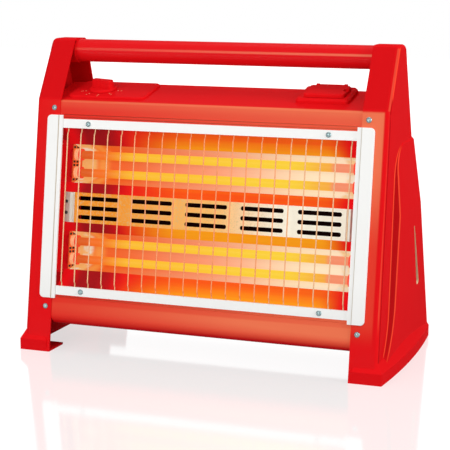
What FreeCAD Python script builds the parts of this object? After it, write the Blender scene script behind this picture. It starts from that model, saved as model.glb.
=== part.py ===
"""Portable quartz heater: two moulded side panels, a leaning sheet-metal body, four quartz tubes.

Millimetres. +Z is up, the front faces -Y, and the origin lies on the floor under the middle of the feet.
Three frames are used. The world frame carries the side panels, the shells and the carrying bar.
The leaning frame follows the front face: X across, Y into the heater, Z up along the face.
The top frame follows the sloping top sheet: X across, Y to the rear along the sheet, Z square to it.
"""

import FreeCAD, Part
import Sketcher
import math
import os

Vector = FreeCAD.Vector

SIZES = (
    # stance
    ("base_depth", "282"),
    ("lean", "8.5"),
    # side panels
    ("trim_inside", "5.4"),
    ("panel_width", "36.5"),
    ("panel_height", "439.5"),
    ("panel_wall", "3"),
    ("crest_rise", "82.5"),
    ("upper_lean", "30.5"),
    ("crest_depth", "38.05"),
    ("crest_round", "11"),
    ("corner_round", "6"),
    ("pad_rise", "8"),
    ("pad_setback", "62"),
    ("pad_flank", "28"),
    ("pad_top", "299"),
    ("pad_shoulder", "10"),
    ("pad_round", "26"),
    ("pad_bend", "212"),
    ("pad_fade", "352"),
    ("sweep_height", "58"),
    ("sweep_round", "120"),
    ("sweep_toe", "10"),
    ("panel_draft", "3.2"),
    ("foot_inset", "4"),
    ("foot_height", "16"),
    ("foot_flare", "15"),
    ("foot_taper", "30"),
    ("foot_spread", "9.2"),
    ("foot_side_radius", "1420"),
    ("foot_corner", "7"),
    ("foot_plate", "3"),
    ("foot_plate_depth", "44"),
    ("rear_lip", "10"),
    ("rear_window_low", "60"),
    ("rear_window_high", "330"),
    ("slot_low", "95"),
    ("slot_high", "184"),
    ("slot_ahead", "46"),
    ("slot_wide", "14"),
    ("slot_narrow", "4"),
    # carrying bar
    ("bar_behind", "16.25"),
    ("bar_drop", "17.6"),
    ("bar_diameter", "32.4"),
    ("bar_tube_wall", "1.5"),
    ("bar_socket_wall", "1.2"),
    ("bar_fit", "0.1"),
    # sheet-metal body
    ("sheet", "1.2"),
    ("seat_gap", "0.2"),
    ("fascia_recess", "1.5"),
    ("fold_past", "1.6"),
    ("top_rise", "13.1"),
    ("top_length", "86"),
    ("hem", "14"),
    ("bottom_height", "38"),
    ("bottom_round", "14"),
    ("bead_height", "1"),
    ("bead_pitch", "4"),
    ("bead_clear", "3"),
    ("notch_depth", "4.2"),
    ("end_inset", "14"),
    ("end_lap", "4"),
    ("end_flange", "18"),
    ("rear_slot_edge", "36"),
    ("rear_slot_width", "6"),
    ("rear_slot_pitch", "14"),
    ("rear_slot_bridge", "30"),
    ("rear_slot_margin", "40"),
    ("rear_slot_rows", "6"),
    ("rear_slot_columns", "4"),
    # opening, trim and guard
    ("mid_drop", "150.6"),
    ("opening_half", "112.5"),
    ("rail_width", "12.6"),
    ("rail_half", "215.3"),
    ("rail_return", "6"),
    ("trim_width", "23.7"),
    ("trim_step", "5.9"),
    ("rail_gap", "0.3"),
    ("trim_half", "130.3"),
    ("trim_thick", "2.5"),
    ("trim_lip", "1.3"),
    ("trim_corner", "6"),
    ("wire_diameter", "1.7"),
    ("wire_inset", "7.3"),
    ("wire_count", "21"),
    ("wire_front", "1.6"),
    ("wire_end", "4.2"),
    ("wire_kink", "8"),
    # heating bays
    ("liner", "1"),
    ("bay_offset", "62.6"),
    ("bay_half", "27.5"),
    ("bay_front", "31"),
    ("liner_shelf", "9"),
    ("liner_under", "1.9"),
    ("channel_front", "21"),
    ("channel_half", "23"),
    ("reflector_sheet", "0.8"),
    ("reflector_lip", "4.5"),
    ("reflector_back", "61"),
    ("reflector_floor", "19.5"),
    ("tube_pitch", "25.8"),
    ("tube_depth", "44"),
    ("tube_diameter", "12"),
    ("tube_bore", "10"),
    ("coil_diameter", "7"),
    ("cold_end", "52"),
    ("coil_lead", "2.4"),
    ("cap_diameter", "17"),
    ("cap_inset", "1"),
    ("cap_length", "17"),
    ("cap_seat", "9"),
    ("cap_fit", "0.1"),
    ("bracket_back", "7"),
    ("bracket_inset", "0.4"),
    # ventilated centre plate
    ("vent_inset", "14.3"),
    ("vent_half_height", "21.5"),
    ("vent_sheet", "1"),
    ("vent_edge", "6"),
    ("vent_slot_width", "6"),
    ("vent_row_pitch", "13.5"),
    ("vent_rows", "3"),
    ("vent_groups", "5"),
    ("vent_bridge", "20"),
    ("vent_window_margin", "3"),
    ("clip_reach", "17"),
    ("clip_bulge", "3"),
    ("clip_flat", "8"),
    # controls
    ("dial_inset", "2"),
    ("dial_length", "119"),
    ("dial_front", "15"),
    ("dial_rear", "84"),
    ("dial_thick", "3"),
    ("dial_corner", "9"),
    ("dial_bevel", "1.5"),
    ("knob_inset", "43"),
    ("knob_along", "48"),
    ("knob_skirt", "40"),
    ("knob_skirt_height", "3.5"),
    ("knob_base", "37"),
    ("knob_wing", "35"),
    ("knob_wing_width", "12"),
    ("knob_wing_taper", "5"),
    ("knob_turned", "10"),
    ("knob_height", "14"),
    ("knob_round", "2.5"),
    ("knob_gap", "0.4"),
    ("shaft_diameter", "6"),
    ("shaft_fit", "0.1"),
    ("shaft_depth", "10"),
    ("shaft_into_knob", "9"),
    ("switch_size", "34"),
    ("switch_height", "28"),
    ("bush_diameter", "9"),
    # humidifier
    ("tank_length", "75"),
    ("tank_inset", "28"),
    ("tank_front", "27"),
    ("tank_rear", "84.5"),
    ("tank_rim", "6.5"),
    ("tank_bevel", "3"),
    ("tank_corner", "6"),
    ("well_margin_left", "13"),
    ("well_margin_right", "9.5"),
    ("well_margin_front", "8"),
    ("well_margin_rear", "14"),
    ("lid_lap", "2.5"),
    ("lid_thick", "5"),
    ("lid_gap", "0.4"),
    ("lid_corner", "5"),
    ("lid_notch", "12"),
    ("lid_plug", "3"),
    ("hinge_diameter", "4"),
    ("hinge_fit", "0.1"),
    ("hinge_pin_length", "5"),
    ("hinge_ear", "4"),
    ("hinge_ear_round", "3"),
    ("cup_depth", "28"),
    ("cup_wall", "1.5"),
    ("cup_flange", "3"),
    # fasteners
    ("screw_head", "7.5"),
    ("screw_head_height", "2.4"),
    ("screw_shank", "3.5"),
    ("screw_length", "9"),
    ("screw_fit", "0.2"),
    ("panel_screw_in", "9"),
    ("panel_screw_low", "65.3"),
    ("panel_screw_drop", "10.2"),
    ("rail_screw_in", "39.3"),
    ("rear_screw_in", "16"),
    ("clip_screw_pitch", "16"),
    ("clip_screw_head", "4.5"),
    ("clip_screw_shank", "2.2"),
    # electrical pieces inside
    ("block_width", "46"),
    ("block_depth", "20"),
    ("block_height", "17"),
    ("block_inset", "71"),
    ("block_bore", "4"),
    ("block_pitch", "11"),
    ("tilt_width", "24"),
    ("tilt_depth", "30"),
    ("tilt_height", "34"),
    ("tilt_inset", "51"),
    ("parts_behind", "32"),
    ("cutout_diameter", "17"),
    ("cutout_height", "8"),
    ("cutout_across", "60"),
    ("gland_inset", "41"),
    ("gland_height", "66"),
    ("gland_diameter", "15"),
    ("gland_flange", "20"),
    ("gland_bore", "8"),
    ("gland_thick", "3"),
    ("gland_reach", "9"),
    # margin by which cuts run past the faces they open
    ("overcut", "1"),
)

doc = FreeCAD.newDocument("quartz_heater")
dims = doc.addObject("Spreadsheet::Sheet", "dims")
for row, (alias, number) in enumerate(SIZES, start=1):
    dims.set("A%d" % row, alias)
    dims.set("B%d" % row, number)
    dims.setAlias("B%d" % row, alias)
doc.recompute()


class Size:
    """A number together with the sheet formula that gives it, so each formula is written once."""

    def __init__(self, value, text):
        self.value = float(value)
        self.text = text

    def __add__(self, other):
        other = as_size(other)
        return Size(self.value + other.value, "(%s + %s)" % (self.text, other.text))

    def __sub__(self, other):
        other = as_size(other)
        return Size(self.value - other.value, "(%s - %s)" % (self.text, other.text))

    def __mul__(self, other):
        other = as_size(other)
        return Size(self.value * other.value, "(%s * %s)" % (self.text, other.text))

    def __truediv__(self, other):
        other = as_size(other)
        return Size(self.value / other.value, "(%s / %s)" % (self.text, other.text))

    def __radd__(self, other):
        return as_size(other) + self

    def __rsub__(self, other):
        return as_size(other) - self

    def __rmul__(self, other):
        return as_size(other) * self

    def __rtruediv__(self, other):
        return as_size(other) / self

    def __neg__(self):
        return Size(-self.value, "(0 - %s)" % self.text)

    def sin(self):
        return Size(math.sin(math.radians(self.value)), "sin(%s * 1 deg)" % self.text)

    def cos(self):
        return Size(math.cos(math.radians(self.value)), "cos(%s * 1 deg)" % self.text)

    def tan(self):
        return Size(math.tan(math.radians(self.value)), "tan(%s * 1 deg)" % self.text)

    def sqrt(self):
        return Size(math.sqrt(self.value), "sqrt(%s)" % self.text)


def as_size(number):
    return number if isinstance(number, Size) else Size(number, repr(float(number)))


S = {alias: Size(number, "dims.%s" % alias) for alias, number in SIZES}
ZERO = as_size(0)


# sketching helpers
def bind(target, name, size):
    target.setExpression(name, as_size(size).text)


def new_body(label, placement=None):
    body = doc.addObject("PartDesign::Body", label)
    body.Label = label
    body.AllowCompound = True
    if placement is not None:
        body.Placement = placement
    return body


def new_sketch(body, plane, offset=ZERO):
    sketch = body.newObject("Sketcher::SketchObject", body.Name + "_sketch")
    support = [item for item in body.Origin.OriginFeatures if item.Role == plane][0]
    sketch.AttachmentSupport = [(support, "")]
    sketch.MapMode = "FlatFace"
    bind(sketch, "AttachmentOffset.Base.z", offset)
    return sketch


def fix_point(sketch, geometry, position, point):
    """Hold a sketch point at bound coordinates measured from the sketch origin."""
    for kind, size in zip(("DistanceX", "DistanceY"), point):
        index = sketch.addConstraint(
            Sketcher.Constraint(kind, -1, 1, geometry, position, size.value)
        )
        bind(sketch, "Constraints[%d]" % index, size)


def flat(point):
    return Vector(point[0].value, point[1].value, 0)


def sized(points):
    return [tuple(as_size(number) for number in point) for point in points]


def add_outline(sketch, points):
    """Closed outline through the points; a third number rounds that corner with a tangent arc."""
    points = sized(points)
    count = len(points)
    corners = [flat(point) for point in points]
    entry, exit_ = [], []
    for i, point in enumerate(points):
        before = (corners[i - 1] - corners[i]).normalize()
        after = (corners[(i + 1) % count] - corners[i]).normalize()
        reach = 0.0
        if len(point) > 2:
            reach = point[2].value / math.tan(before.getAngle(after) / 2)
        entry.append(corners[i] + before * reach)
        exit_.append(corners[i] + after * reach)
    lines = [
        sketch.addGeometry(Part.LineSegment(exit_[i], entry[(i + 1) % count]))
        for i in range(count)
    ]
    for i, point in enumerate(points):
        previous, following = lines[i - 1], lines[i]
        if len(point) < 3:
            sketch.addConstraint(Sketcher.Constraint("Coincident", previous, 2, following, 1))
            fix_point(sketch, following, 1, point[:2])
            continue
        before = (corners[i - 1] - corners[i]).normalize()
        after = (corners[(i + 1) % count] - corners[i]).normalize()
        bisector = (before + after).normalize()
        half = before.getAngle(after) / 2
        centre = corners[i] + bisector * (point[2].value / math.sin(half))
        middle = centre - bisector * point[2].value
        left_turn = (after.cross(before)).z > 0
        ends = (entry[i], exit_[i]) if left_turn else (exit_[i], entry[i])
        arc = sketch.addGeometry(Part.Arc(ends[0], middle, ends[1]))
        near, far = (1, 2) if left_turn else (2, 1)
        sketch.addConstraint(Sketcher.Constraint("Tangent", previous, 2, arc, near))
        sketch.addConstraint(Sketcher.Constraint("Tangent", arc, far, following, 1))
        radius = sketch.addConstraint(Sketcher.Constraint("Radius", arc, point[2].value))
        bind(sketch, "Constraints[%d]" % radius, point[2])
        corner = sketch.addGeometry(Part.Point(corners[i]), True)
        fix_point(sketch, corner, 1, point[:2])
        sketch.addConstraint(Sketcher.Constraint("PointOnObject", corner, 1, previous))
        sketch.addConstraint(Sketcher.Constraint("PointOnObject", corner, 1, following))


def outline(body, plane, points, offset=ZERO):
    sketch = new_sketch(body, plane, offset)
    add_outline(sketch, points)
    return sketch


def outlines(body, plane, shapes, offset=ZERO):
    sketch = new_sketch(body, plane, offset)
    for points in shapes:
        add_outline(sketch, points)
    return sketch


def box_points(left, right, low, high, corner=None):
    points = [(left, low), (right, low), (right, high), (left, high)]
    return points if corner is None else [point + (corner,) for point in points]


def slot_column(across, first_up, pitch, rows, length, width):
    """Outlines of a column of level slots with rounded ends, one above the other."""
    heights = [first_up + pitch * row for row in range(int(rows.value))]
    return [
        box_points(across - length / 2, across + length / 2, up - width / 2, up + width / 2, width * 0.45)
        for up in heights
    ]


def circles(body, plane, centres, diameter, offset=ZERO):
    sketch = new_sketch(body, plane, offset)
    diameter = as_size(diameter)
    for centre in sized(centres):
        ring = sketch.addGeometry(
            Part.Circle(flat(centre), Vector(0, 0, 1), diameter.value / 2)
        )
        fix_point(sketch, ring, 3, centre)
        index = sketch.addConstraint(Sketcher.Constraint("Diameter", ring, diameter.value))
        bind(sketch, "Constraints[%d]" % index, diameter)
    return sketch


def bent_sheet(body, plane, points, thickness, side, offset=ZERO):
    """Section of a bent sheet: the given face line, and a second line one thickness to its side."""
    points = sized(points)
    thickness = as_size(thickness)
    sketch = new_sketch(body, plane, offset)
    face = [flat(point) for point in points]
    runs = [(b - a).normalize() for a, b in zip(face, face[1:])]
    normals = [Vector(-run.y, run.x, 0) * (side * thickness.value) for run in runs]
    back = [face[0] + normals[0]]
    for i in range(1, len(runs)):
        bisector = (normals[i - 1] + normals[i]).normalize()
        stretch = thickness.value**2 / bisector.dot(normals[i])
        back.append(face[i] + bisector * stretch)
    back.append(face[-1] + normals[-1])
    front = [sketch.addGeometry(Part.LineSegment(a, b)) for a, b in zip(face, face[1:])]
    rear = [sketch.addGeometry(Part.LineSegment(a, b)) for a, b in zip(back, back[1:])]
    first = sketch.addGeometry(Part.LineSegment(face[0], back[0]))
    last = sketch.addGeometry(Part.LineSegment(face[-1], back[-1]))
    for chain in (front, rear):
        for a, b in zip(chain, chain[1:]):
            sketch.addConstraint(Sketcher.Constraint("Coincident", a, 2, b, 1))
    for line, point in zip(front, points):
        fix_point(sketch, line, 1, point)
    fix_point(sketch, front[-1], 2, points[-1])
    for a, b in zip(front, rear):
        sketch.addConstraint(Sketcher.Constraint("Parallel", a, b))
        index = sketch.addConstraint(
            Sketcher.Constraint("Distance", b, 1, a, thickness.value)
        )
        bind(sketch, "Constraints[%d]" % index, thickness)
    for cap, line, back_line, end in ((first, front[0], rear[0], 1), (last, front[-1], rear[-1], 2)):
        sketch.addConstraint(Sketcher.Constraint("Coincident", cap, 1, line, end))
        sketch.addConstraint(Sketcher.Constraint("Coincident", cap, 2, back_line, end))
        sketch.addConstraint(Sketcher.Constraint("Perpendicular", cap, line))
    return sketch


# feature helpers
def settle(body, feature):
    """Recompute, and stop where the new feature could not be made."""
    doc.recompute()
    if "Invalid" in feature.State or feature.Shape.isNull() or not feature.Shape.isValid():
        raise RuntimeError("%s: %s %s" % (body.Label, feature.Name, feature.getStatusString()))
    return feature


def pad(body, sketch, length, reverse=False, symmetric=False, taper=None):
    feature = body.newObject("PartDesign::Pad", body.Name + "_pad")
    feature.Profile = sketch
    feature.Reversed = reverse
    feature.SideType = "Symmetric" if symmetric else "One side"
    bind(feature, "Length", length)
    if taper is not None:
        bind(feature, "TaperAngle", taper)
    return settle(body, feature)


def pocket(body, sketch, length, reverse=False, symmetric=False):
    before = body.Shape.Volume
    feature = body.newObject("PartDesign::Pocket", body.Name + "_pocket")
    feature.Profile = sketch
    feature.Reversed = reverse
    feature.SideType = "Symmetric" if symmetric else "One side"
    bind(feature, "Length", length)
    settle(body, feature)
    if body.Shape.Volume > before - 1e-6:
        raise RuntimeError("a cut in %s removed nothing" % body.Label)
    return feature


def revolve(body, sketch, axis):
    feature = body.newObject("PartDesign::Revolution", body.Name + "_turned")
    feature.Profile = sketch
    feature.ReferenceAxis = (sketch, [axis])
    feature.Angle = 360
    return settle(body, feature)


def loft(body, start, end):
    feature = body.newObject("PartDesign::AdditiveLoft", body.Name + "_loft")
    feature.Profile = start
    feature.Sections = [end]
    feature.Ruled = True
    return settle(body, feature)


def repeat(body, feature, pitch, count):
    """Linear pattern of a feature along X."""
    pattern = body.newObject("PartDesign::LinearPattern", body.Name + "_pattern")
    pattern.Originals = [feature]
    axis = [item for item in body.Origin.OriginFeatures if item.Role == "X_Axis"][0]
    pattern.Direction = (axis, [""])
    pattern.Mode = "Spacing"
    bind(pattern, "Offset", pitch)
    bind(pattern, "Occurrences", count)
    body.Tip = pattern
    return settle(body, pattern)


def edges_where(body, test):
    """Names of the body's edges whose middle point and direction pass the test."""
    names = []
    for number, edge in enumerate(body.Tip.Shape.Edges, start=1):
        middle = edge.valueAt((edge.FirstParameter + edge.LastParameter) / 2)
        ends = [vertex.Point for vertex in edge.Vertexes]
        run = ends[-1] - ends[0]
        if run.Length > 0:
            run.normalize()
        if test(middle, run):
            names.append("Edge%d" % number)
    return names


def dress(body, kind, size, test):
    """Round ("Fillet") or bevel ("Chamfer") the edges that pass the test."""
    names = edges_where(body, test)
    if not names:
        raise RuntimeError("no edge to dress in %s" % body.Label)
    previous = body.Tip
    feature = body.newObject("PartDesign::" + kind, body.Name + "_" + kind.lower())
    feature.Base = (previous, names)
    bind(feature, "Radius" if kind == "Fillet" else "Size", size)
    return settle(body, feature)


def near(a, b, tolerance=0.02):
    return abs(a - as_size(b).value) < tolerance


# shared lines of the side view
TOE = -S["base_depth"] / 2
HEEL = S["base_depth"] / 2
LEAN_TAN = S["lean"].tan()
LEAN_COS = S["lean"].cos()
LEAN_SIN = S["lean"].sin()
UPPER_TAN = S["upper_lean"].tan()
UPPER_COS = S["upper_lean"].cos()

# heights and depths that follow the panel's height
S["bend_height"] = S["panel_height"] - S["crest_rise"]
CREST_FRONT = S["bend_height"] * LEAN_TAN + S["crest_rise"] * UPPER_TAN
S["crest_rear"] = CREST_FRONT + S["crest_depth"]
S["bar_back"] = CREST_FRONT + S["bar_behind"]
S["bar_height"] = S["panel_height"] - S["bar_drop"]
S["fold_height"] = S["bend_height"] + S["fold_past"]
S["mid_height"] = S["fold_height"] - S["mid_drop"]
S["panel_screw_high"] = S["fold_height"] - S["panel_screw_drop"]

# widths that follow the length of the rails
S["trim_inner"] = S["rail_half"] + S["rail_gap"]
S["trim_groove"] = S["trim_inner"] + S["trim_step"]
S["trim_outer"] = S["trim_inner"] + S["trim_width"]
S["liner_half"] = S["trim_inner"] + S["liner_under"]
S["panel_inner"] = S["trim_inner"] + S["trim_inside"]
S["foot_inner"] = S["panel_inner"] + S["foot_inset"]
S["end_web"] = S["panel_inner"] + S["end_inset"]
S["cap_outer"] = S["panel_inner"] - S["cap_inset"]
S["bracket_place"] = S["cap_outer"] - S["bracket_back"]
S["coil_half"] = S["cap_outer"] - S["cold_end"]
S["wire_pitch"] = (S["rail_half"] - S["wire_inset"]) * 2 / (S["wire_count"] - 1)
S["panel_screw_across"] = S["panel_inner"] + S["panel_screw_in"]
S["rail_screw_across"] = S["rail_half"] - S["rail_screw_in"]
S["rear_screw_across"] = S["panel_inner"] - S["rear_screw_in"]
S["dial_left"] = S["panel_inner"] - S["dial_inset"]
S["dial_right"] = S["dial_left"] - S["dial_length"]
S["knob_across"] = S["dial_left"] - S["knob_inset"]
S["tank_right"] = S["panel_inner"] - S["tank_inset"]
S["tank_left"] = S["tank_right"] - S["tank_length"]
S["block_across"] = S["panel_inner"] - S["block_inset"]
S["tilt_across"] = S["panel_inner"] - S["tilt_inset"]
S["gland_across"] = S["panel_inner"] - S["gland_inset"]


def share(half, edge, bridge, count):
    """Length of each of a row of equal slots between two edges with bridges between them."""
    return ((half - edge) * 2 - bridge * (count - 1)) / count


S["vent_half_width"] = S["rail_half"] - S["vent_inset"]
S["vent_slot_length"] = share(
    S["vent_half_width"], S["vent_edge"], S["vent_bridge"], S["vent_groups"]
)
S["vent_group_pitch"] = S["vent_slot_length"] + S["vent_bridge"]
S["rear_slot_length"] = share(
    S["panel_inner"], S["rear_slot_edge"], S["rear_slot_bridge"], S["rear_slot_columns"]
)
S["rear_slot_column"] = S["rear_slot_length"] + S["rear_slot_bridge"]
REAR_TAN = (S["base_depth"] - S["crest_rear"]) / S["panel_height"]
REAR_STRETCH = (REAR_TAN * REAR_TAN + 1).sqrt()


def front_y(height):
    """World Y of the leaning front face at a height."""
    return TOE + height * LEAN_TAN


def upper_y(height):
    """World Y of the steeper upper front above the bend."""
    return front_y(S["bend_height"]) + (height - S["bend_height"]) * UPPER_TAN


def rear_y(height):
    """World Y of the sloping rear edge."""
    return HEEL - height * REAR_TAN


def leaning(into, up):
    """World (Y, Z) of a point of the leaning frame."""
    return (TOE + into * LEAN_COS + up * LEAN_SIN, up * LEAN_COS - into * LEAN_SIN)


FOLD_Y, FOLD_Z = leaning(S["fascia_recess"], S["fold_height"])
REAR_PLANE = FOLD_Y + S["top_length"] * S["top_rise"].cos()
REAR_TOP = FOLD_Z + S["top_length"] * S["top_rise"].sin()
BAR_Y = TOE + S["bar_back"]
X_AXIS = Vector(1, 0, 0)
LEANING = FreeCAD.Placement(
    Vector(0, TOE.value, 0), FreeCAD.Rotation(X_AXIS, -S["lean"].value)
)
TOP = FreeCAD.Placement(
    Vector(0, FOLD_Y.value, FOLD_Z.value), FreeCAD.Rotation(X_AXIS, S["top_rise"].value)
)
WORLD = FreeCAD.Placement()


# moulded side panels
def side_panel(label, hand):
    """Hollow A-shaped moulding, open inwards; hand is 1 on the right and -1 on the left."""
    body = new_body(label, WORLD)
    left = hand < 0
    inner = S["panel_inner"] * hand
    outer_face = S["panel_inner"] + S["panel_width"]
    wall = S["panel_wall"]

    pad(
        body,
        outline(
            body,
            "YZ_Plane",
            [
                (TOE, ZERO),
                (rear_y(ZERO), ZERO),
                (rear_y(S["panel_height"]), S["panel_height"], S["crest_round"]),
                (upper_y(S["panel_height"]), S["panel_height"], S["crest_round"]),
                (front_y(S["bend_height"]), S["bend_height"]),
            ],
            inner,
        ),
        S["panel_width"] + S["panel_draft"],
        reverse=left,
    )
    beyond = outer_face + S["panel_draft"] + S["overcut"]
    above = S["panel_height"] + S["overcut"]
    draft = [
        ((outer_face + S["panel_draft"]) * hand, -S["overcut"]),
        (beyond * hand, -S["overcut"]),
        (beyond * hand, above),
        (outer_face * hand, above),
    ]
    pocket(body, outline(body, "XZ_Plane", draft), S["base_depth"] * 2, symmetric=True)
    dress(
        body,
        "Fillet",
        S["corner_round"],
        lambda middle, run: abs(middle.x) > outer_face.value - 0.1
        and middle.z > 1
        and not (middle.y > rear_y(S["panel_height"] / 2).value - 1 and abs(run.z) > 0.9),
    )

    # raised pad: arched front shoulder, swept forward into the foot, fading out towards its top
    def pad_outline(toe, setback, top, corner):
        return [
            (front_y(ZERO) + toe, ZERO),
            (rear_y(ZERO), ZERO),
            (rear_y(top), top),
            (front_y(top) + setback, top, corner),
            (front_y(S["sweep_height"]) + setback, S["sweep_height"], S["sweep_round"]),
        ]

    wide = pad_outline(
        S["panel_wall"],
        S["pad_setback"] - S["pad_flank"],
        S["pad_top"] + S["pad_shoulder"],
        S["pad_round"] + S["pad_flank"],
    )
    proud = pad_outline(S["sweep_toe"], S["pad_setback"], S["pad_top"], S["pad_round"])
    loft(
        body,
        outline(body, "YZ_Plane", wide, outer_face * hand),
        outline(body, "YZ_Plane", proud, (outer_face + S["pad_rise"]) * hand),
    )
    past = outer_face + S["pad_rise"] + S["overcut"]
    fade = [
        ((outer_face + S["pad_rise"]) * hand, S["pad_bend"]),
        (past * hand, S["pad_bend"]),
        (past * hand, S["pad_fade"]),
        (outer_face * hand, S["pad_fade"]),
    ]
    pocket(body, outline(body, "XZ_Plane", fade), S["base_depth"] * 2, symmetric=True)

    # spread foot all round, with a bowed outer side and a tapered flare above it
    def foot_sketch(height):
        sketch = new_sketch(body, "XY_Plane", height)
        outer = outer_face + S["foot_spread"]
        corners = sized(
            [
                (S["foot_inner"] * hand, TOE),
                (outer * hand, TOE),
                (outer * hand, HEEL),
                (S["foot_inner"] * hand, HEEL),
            ]
        )
        points = [flat(corner) for corner in corners]
        half = S["base_depth"].value / 2
        bow = S["foot_side_radius"].value
        crown = bow - math.sqrt(bow**2 - half**2)
        middle = Vector(points[1].x + hand * crown, 0, 0)
        ends = (points[2], points[1]) if left else (points[1], points[2])
        front = sketch.addGeometry(Part.LineSegment(points[0], points[1]))
        side = sketch.addGeometry(Part.Arc(ends[0], middle, ends[1]))
        rear = sketch.addGeometry(Part.LineSegment(points[2], points[3]))
        inside = sketch.addGeometry(Part.LineSegment(points[3], points[0]))
        start, end = (2, 1) if left else (1, 2)
        joins = ((front, 2, side, start), (side, end, rear, 1), (rear, 2, inside, 1), (inside, 2, front, 1))
        for join in joins:
            sketch.addConstraint(Sketcher.Constraint("Coincident", *join))
        fix_point(sketch, front, 1, corners[0])
        fix_point(sketch, front, 2, corners[1])
        fix_point(sketch, rear, 1, corners[2])
        fix_point(sketch, rear, 2, corners[3])
        radius = sketch.addConstraint(Sketcher.Constraint("Radius", side, bow))
        bind(sketch, "Constraints[%d]" % radius, S["foot_side_radius"])
        return sketch

    pad(body, foot_sketch(ZERO), S["foot_height"])
    pad(body, foot_sketch(S["foot_height"]), S["foot_flare"], taper=-S["foot_taper"])

    # hollow, leaving the walls and the two floor plates of the foot
    front_wall = wall / LEAN_COS
    upper_wall = wall / UPPER_COS
    rear_wall = wall * REAR_STRETCH
    bend = S["bend_height"] + (upper_wall - front_wall) / (LEAN_TAN - UPPER_TAN)
    ceiling = S["panel_height"] - wall
    plate = S["foot_plate"]
    reach = S["foot_plate_depth"]
    below = -S["overcut"]
    pocket(
        body,
        outline(
            body,
            "YZ_Plane",
            [
                (front_y(plate) + front_wall, plate),
                (TOE + reach, plate),
                (TOE + reach, below),
                (HEEL - reach, below),
                (HEEL - reach, plate),
                (rear_y(plate) - rear_wall, plate),
                (rear_y(ceiling) - rear_wall, ceiling),
                (upper_y(ceiling) + upper_wall, ceiling),
                (front_y(bend) + front_wall, bend),
            ],
            inner - S["overcut"] * hand,
        ),
        S["panel_width"] - wall + S["overcut"],
        reverse=not left,
    )
    pad_inside = [
        (front_y(plate) + S["pad_setback"] + wall, plate + S["foot_height"]),
        (rear_y(S["foot_height"] + plate) - rear_wall, plate + S["foot_height"]),
        (rear_y(S["pad_bend"]) - rear_wall, S["pad_bend"]),
        (front_y(S["pad_bend"]) + S["pad_setback"] + wall, S["pad_bend"], S["pad_round"]),
    ]
    pocket(
        body,
        outline(body, "YZ_Plane", pad_inside, (outer_face - wall - S["overcut"]) * hand),
        S["pad_rise"] + S["overcut"],
        reverse=not left,
    )
    foot_void = sorted(
        (
            (outer_face - wall - S["overcut"]) * hand,
            (outer_face + S["foot_spread"] - wall) * hand,
        ),
        key=lambda size: size.value,
    )
    pocket(
        body,
        outline(
            body,
            "XY_Plane",
            box_points(foot_void[0], foot_void[1], TOE + reach, HEEL - reach),
            -S["overcut"],
        ),
        S["foot_height"] + S["overcut"] + plate + S["overcut"],
        reverse=True,
    )

    # window in the rear wall, leaving a lip along the outer side
    window = sorted(
        (inner - S["overcut"] * hand, (outer_face - S["rear_lip"]) * hand),
        key=lambda size: size.value,
    )
    deep = rear_y(S["rear_window_high"]) - rear_wall * 2
    pocket(
        body,
        outline(
            body,
            "XZ_Plane",
            box_points(window[0], window[1], S["rear_window_low"], S["rear_window_high"], wall),
            -(HEEL + S["overcut"]),
        ),
        HEEL + S["overcut"] - deep,
        reverse=True,
    )

    # socket for the carrying bar
    axis = [(BAR_Y, S["bar_height"])]
    bore = S["bar_diameter"] + S["bar_fit"] * 2
    pad(
        body,
        circles(body, "YZ_Plane", axis, bore + S["bar_socket_wall"] * 2, inner),
        S["panel_width"] - wall,
        reverse=left,
    )
    pocket(
        body,
        circles(body, "YZ_Plane", axis, bore, inner - S["overcut"] * hand),
        S["panel_width"] - wall + S["overcut"],
        reverse=not left,
    )

    # long tapering slot through the pad, parallel to the rear edge
    def slot_y(height, across):
        return rear_y(height) - S["slot_ahead"] + across

    slot = [
        (slot_y(S["slot_low"], -S["slot_wide"] / 2), S["slot_low"], S["slot_wide"] / 3),
        (slot_y(S["slot_low"], S["slot_wide"] / 2), S["slot_low"], S["slot_wide"] / 3),
        (slot_y(S["slot_high"], S["slot_narrow"] / 2), S["slot_high"], S["slot_narrow"] / 3),
        (slot_y(S["slot_high"], -S["slot_narrow"] / 2), S["slot_high"], S["slot_narrow"] / 3),
    ]
    pocket(
        body,
        outline(body, "YZ_Plane", slot, (outer_face + S["pad_rise"] + S["overcut"]) * hand),
        S["pad_rise"] + wall + S["overcut"] * 2,
        reverse=left,
    )

    # clearance holes for the two front screws, square to the floor plan
    hole = S["screw_shank"] + S["screw_fit"] * 2 + wall * LEAN_TAN
    centres = [
        (S["panel_screw_across"] * hand, leaning(wall / 2, S[place])[1])
        for place in ("panel_screw_low", "panel_screw_high")
    ]
    pocket(
        body,
        circles(body, "XZ_Plane", centres, hole, -TOE + S["overcut"]),
        front_y(S["bend_height"]) - TOE + front_wall + S["overcut"] * 2,
        reverse=False,
    )
    return body


side_panel("right_side_panel", 1)
side_panel("left_side_panel", -1)


def tube_along_x(label, centre, outer, bore, half, placement):
    """Straight tube along X about a (Y, Z) centre."""
    body = new_body(label, placement)
    pad(body, circles(body, "YZ_Plane", [centre], outer), half * 2, symmetric=True)
    pocket(body, circles(body, "YZ_Plane", [centre], bore), half * 2 + S["overcut"], symmetric=True)
    return body


tube_along_x(
    "handle_bar",
    (BAR_Y, S["bar_height"]),
    S["bar_diameter"],
    S["bar_diameter"] - S["bar_tube_wall"] * 2,
    S["panel_inner"] + S["panel_width"] - S["panel_wall"] - S["bar_fit"],
    WORLD,
)


def hole_size(thickness):
    """Diameter of a level hole that clears a leaning screw through a sheet."""
    return S["screw_shank"] + S["screw_fit"] * 2 + as_size(thickness) * LEAN_TAN


def both_sides(across):
    return (across, -across)


def mirrored(up):
    """Height up the face, reflected about the middle of the opening."""
    return S["mid_height"] * 2 - up


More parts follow.
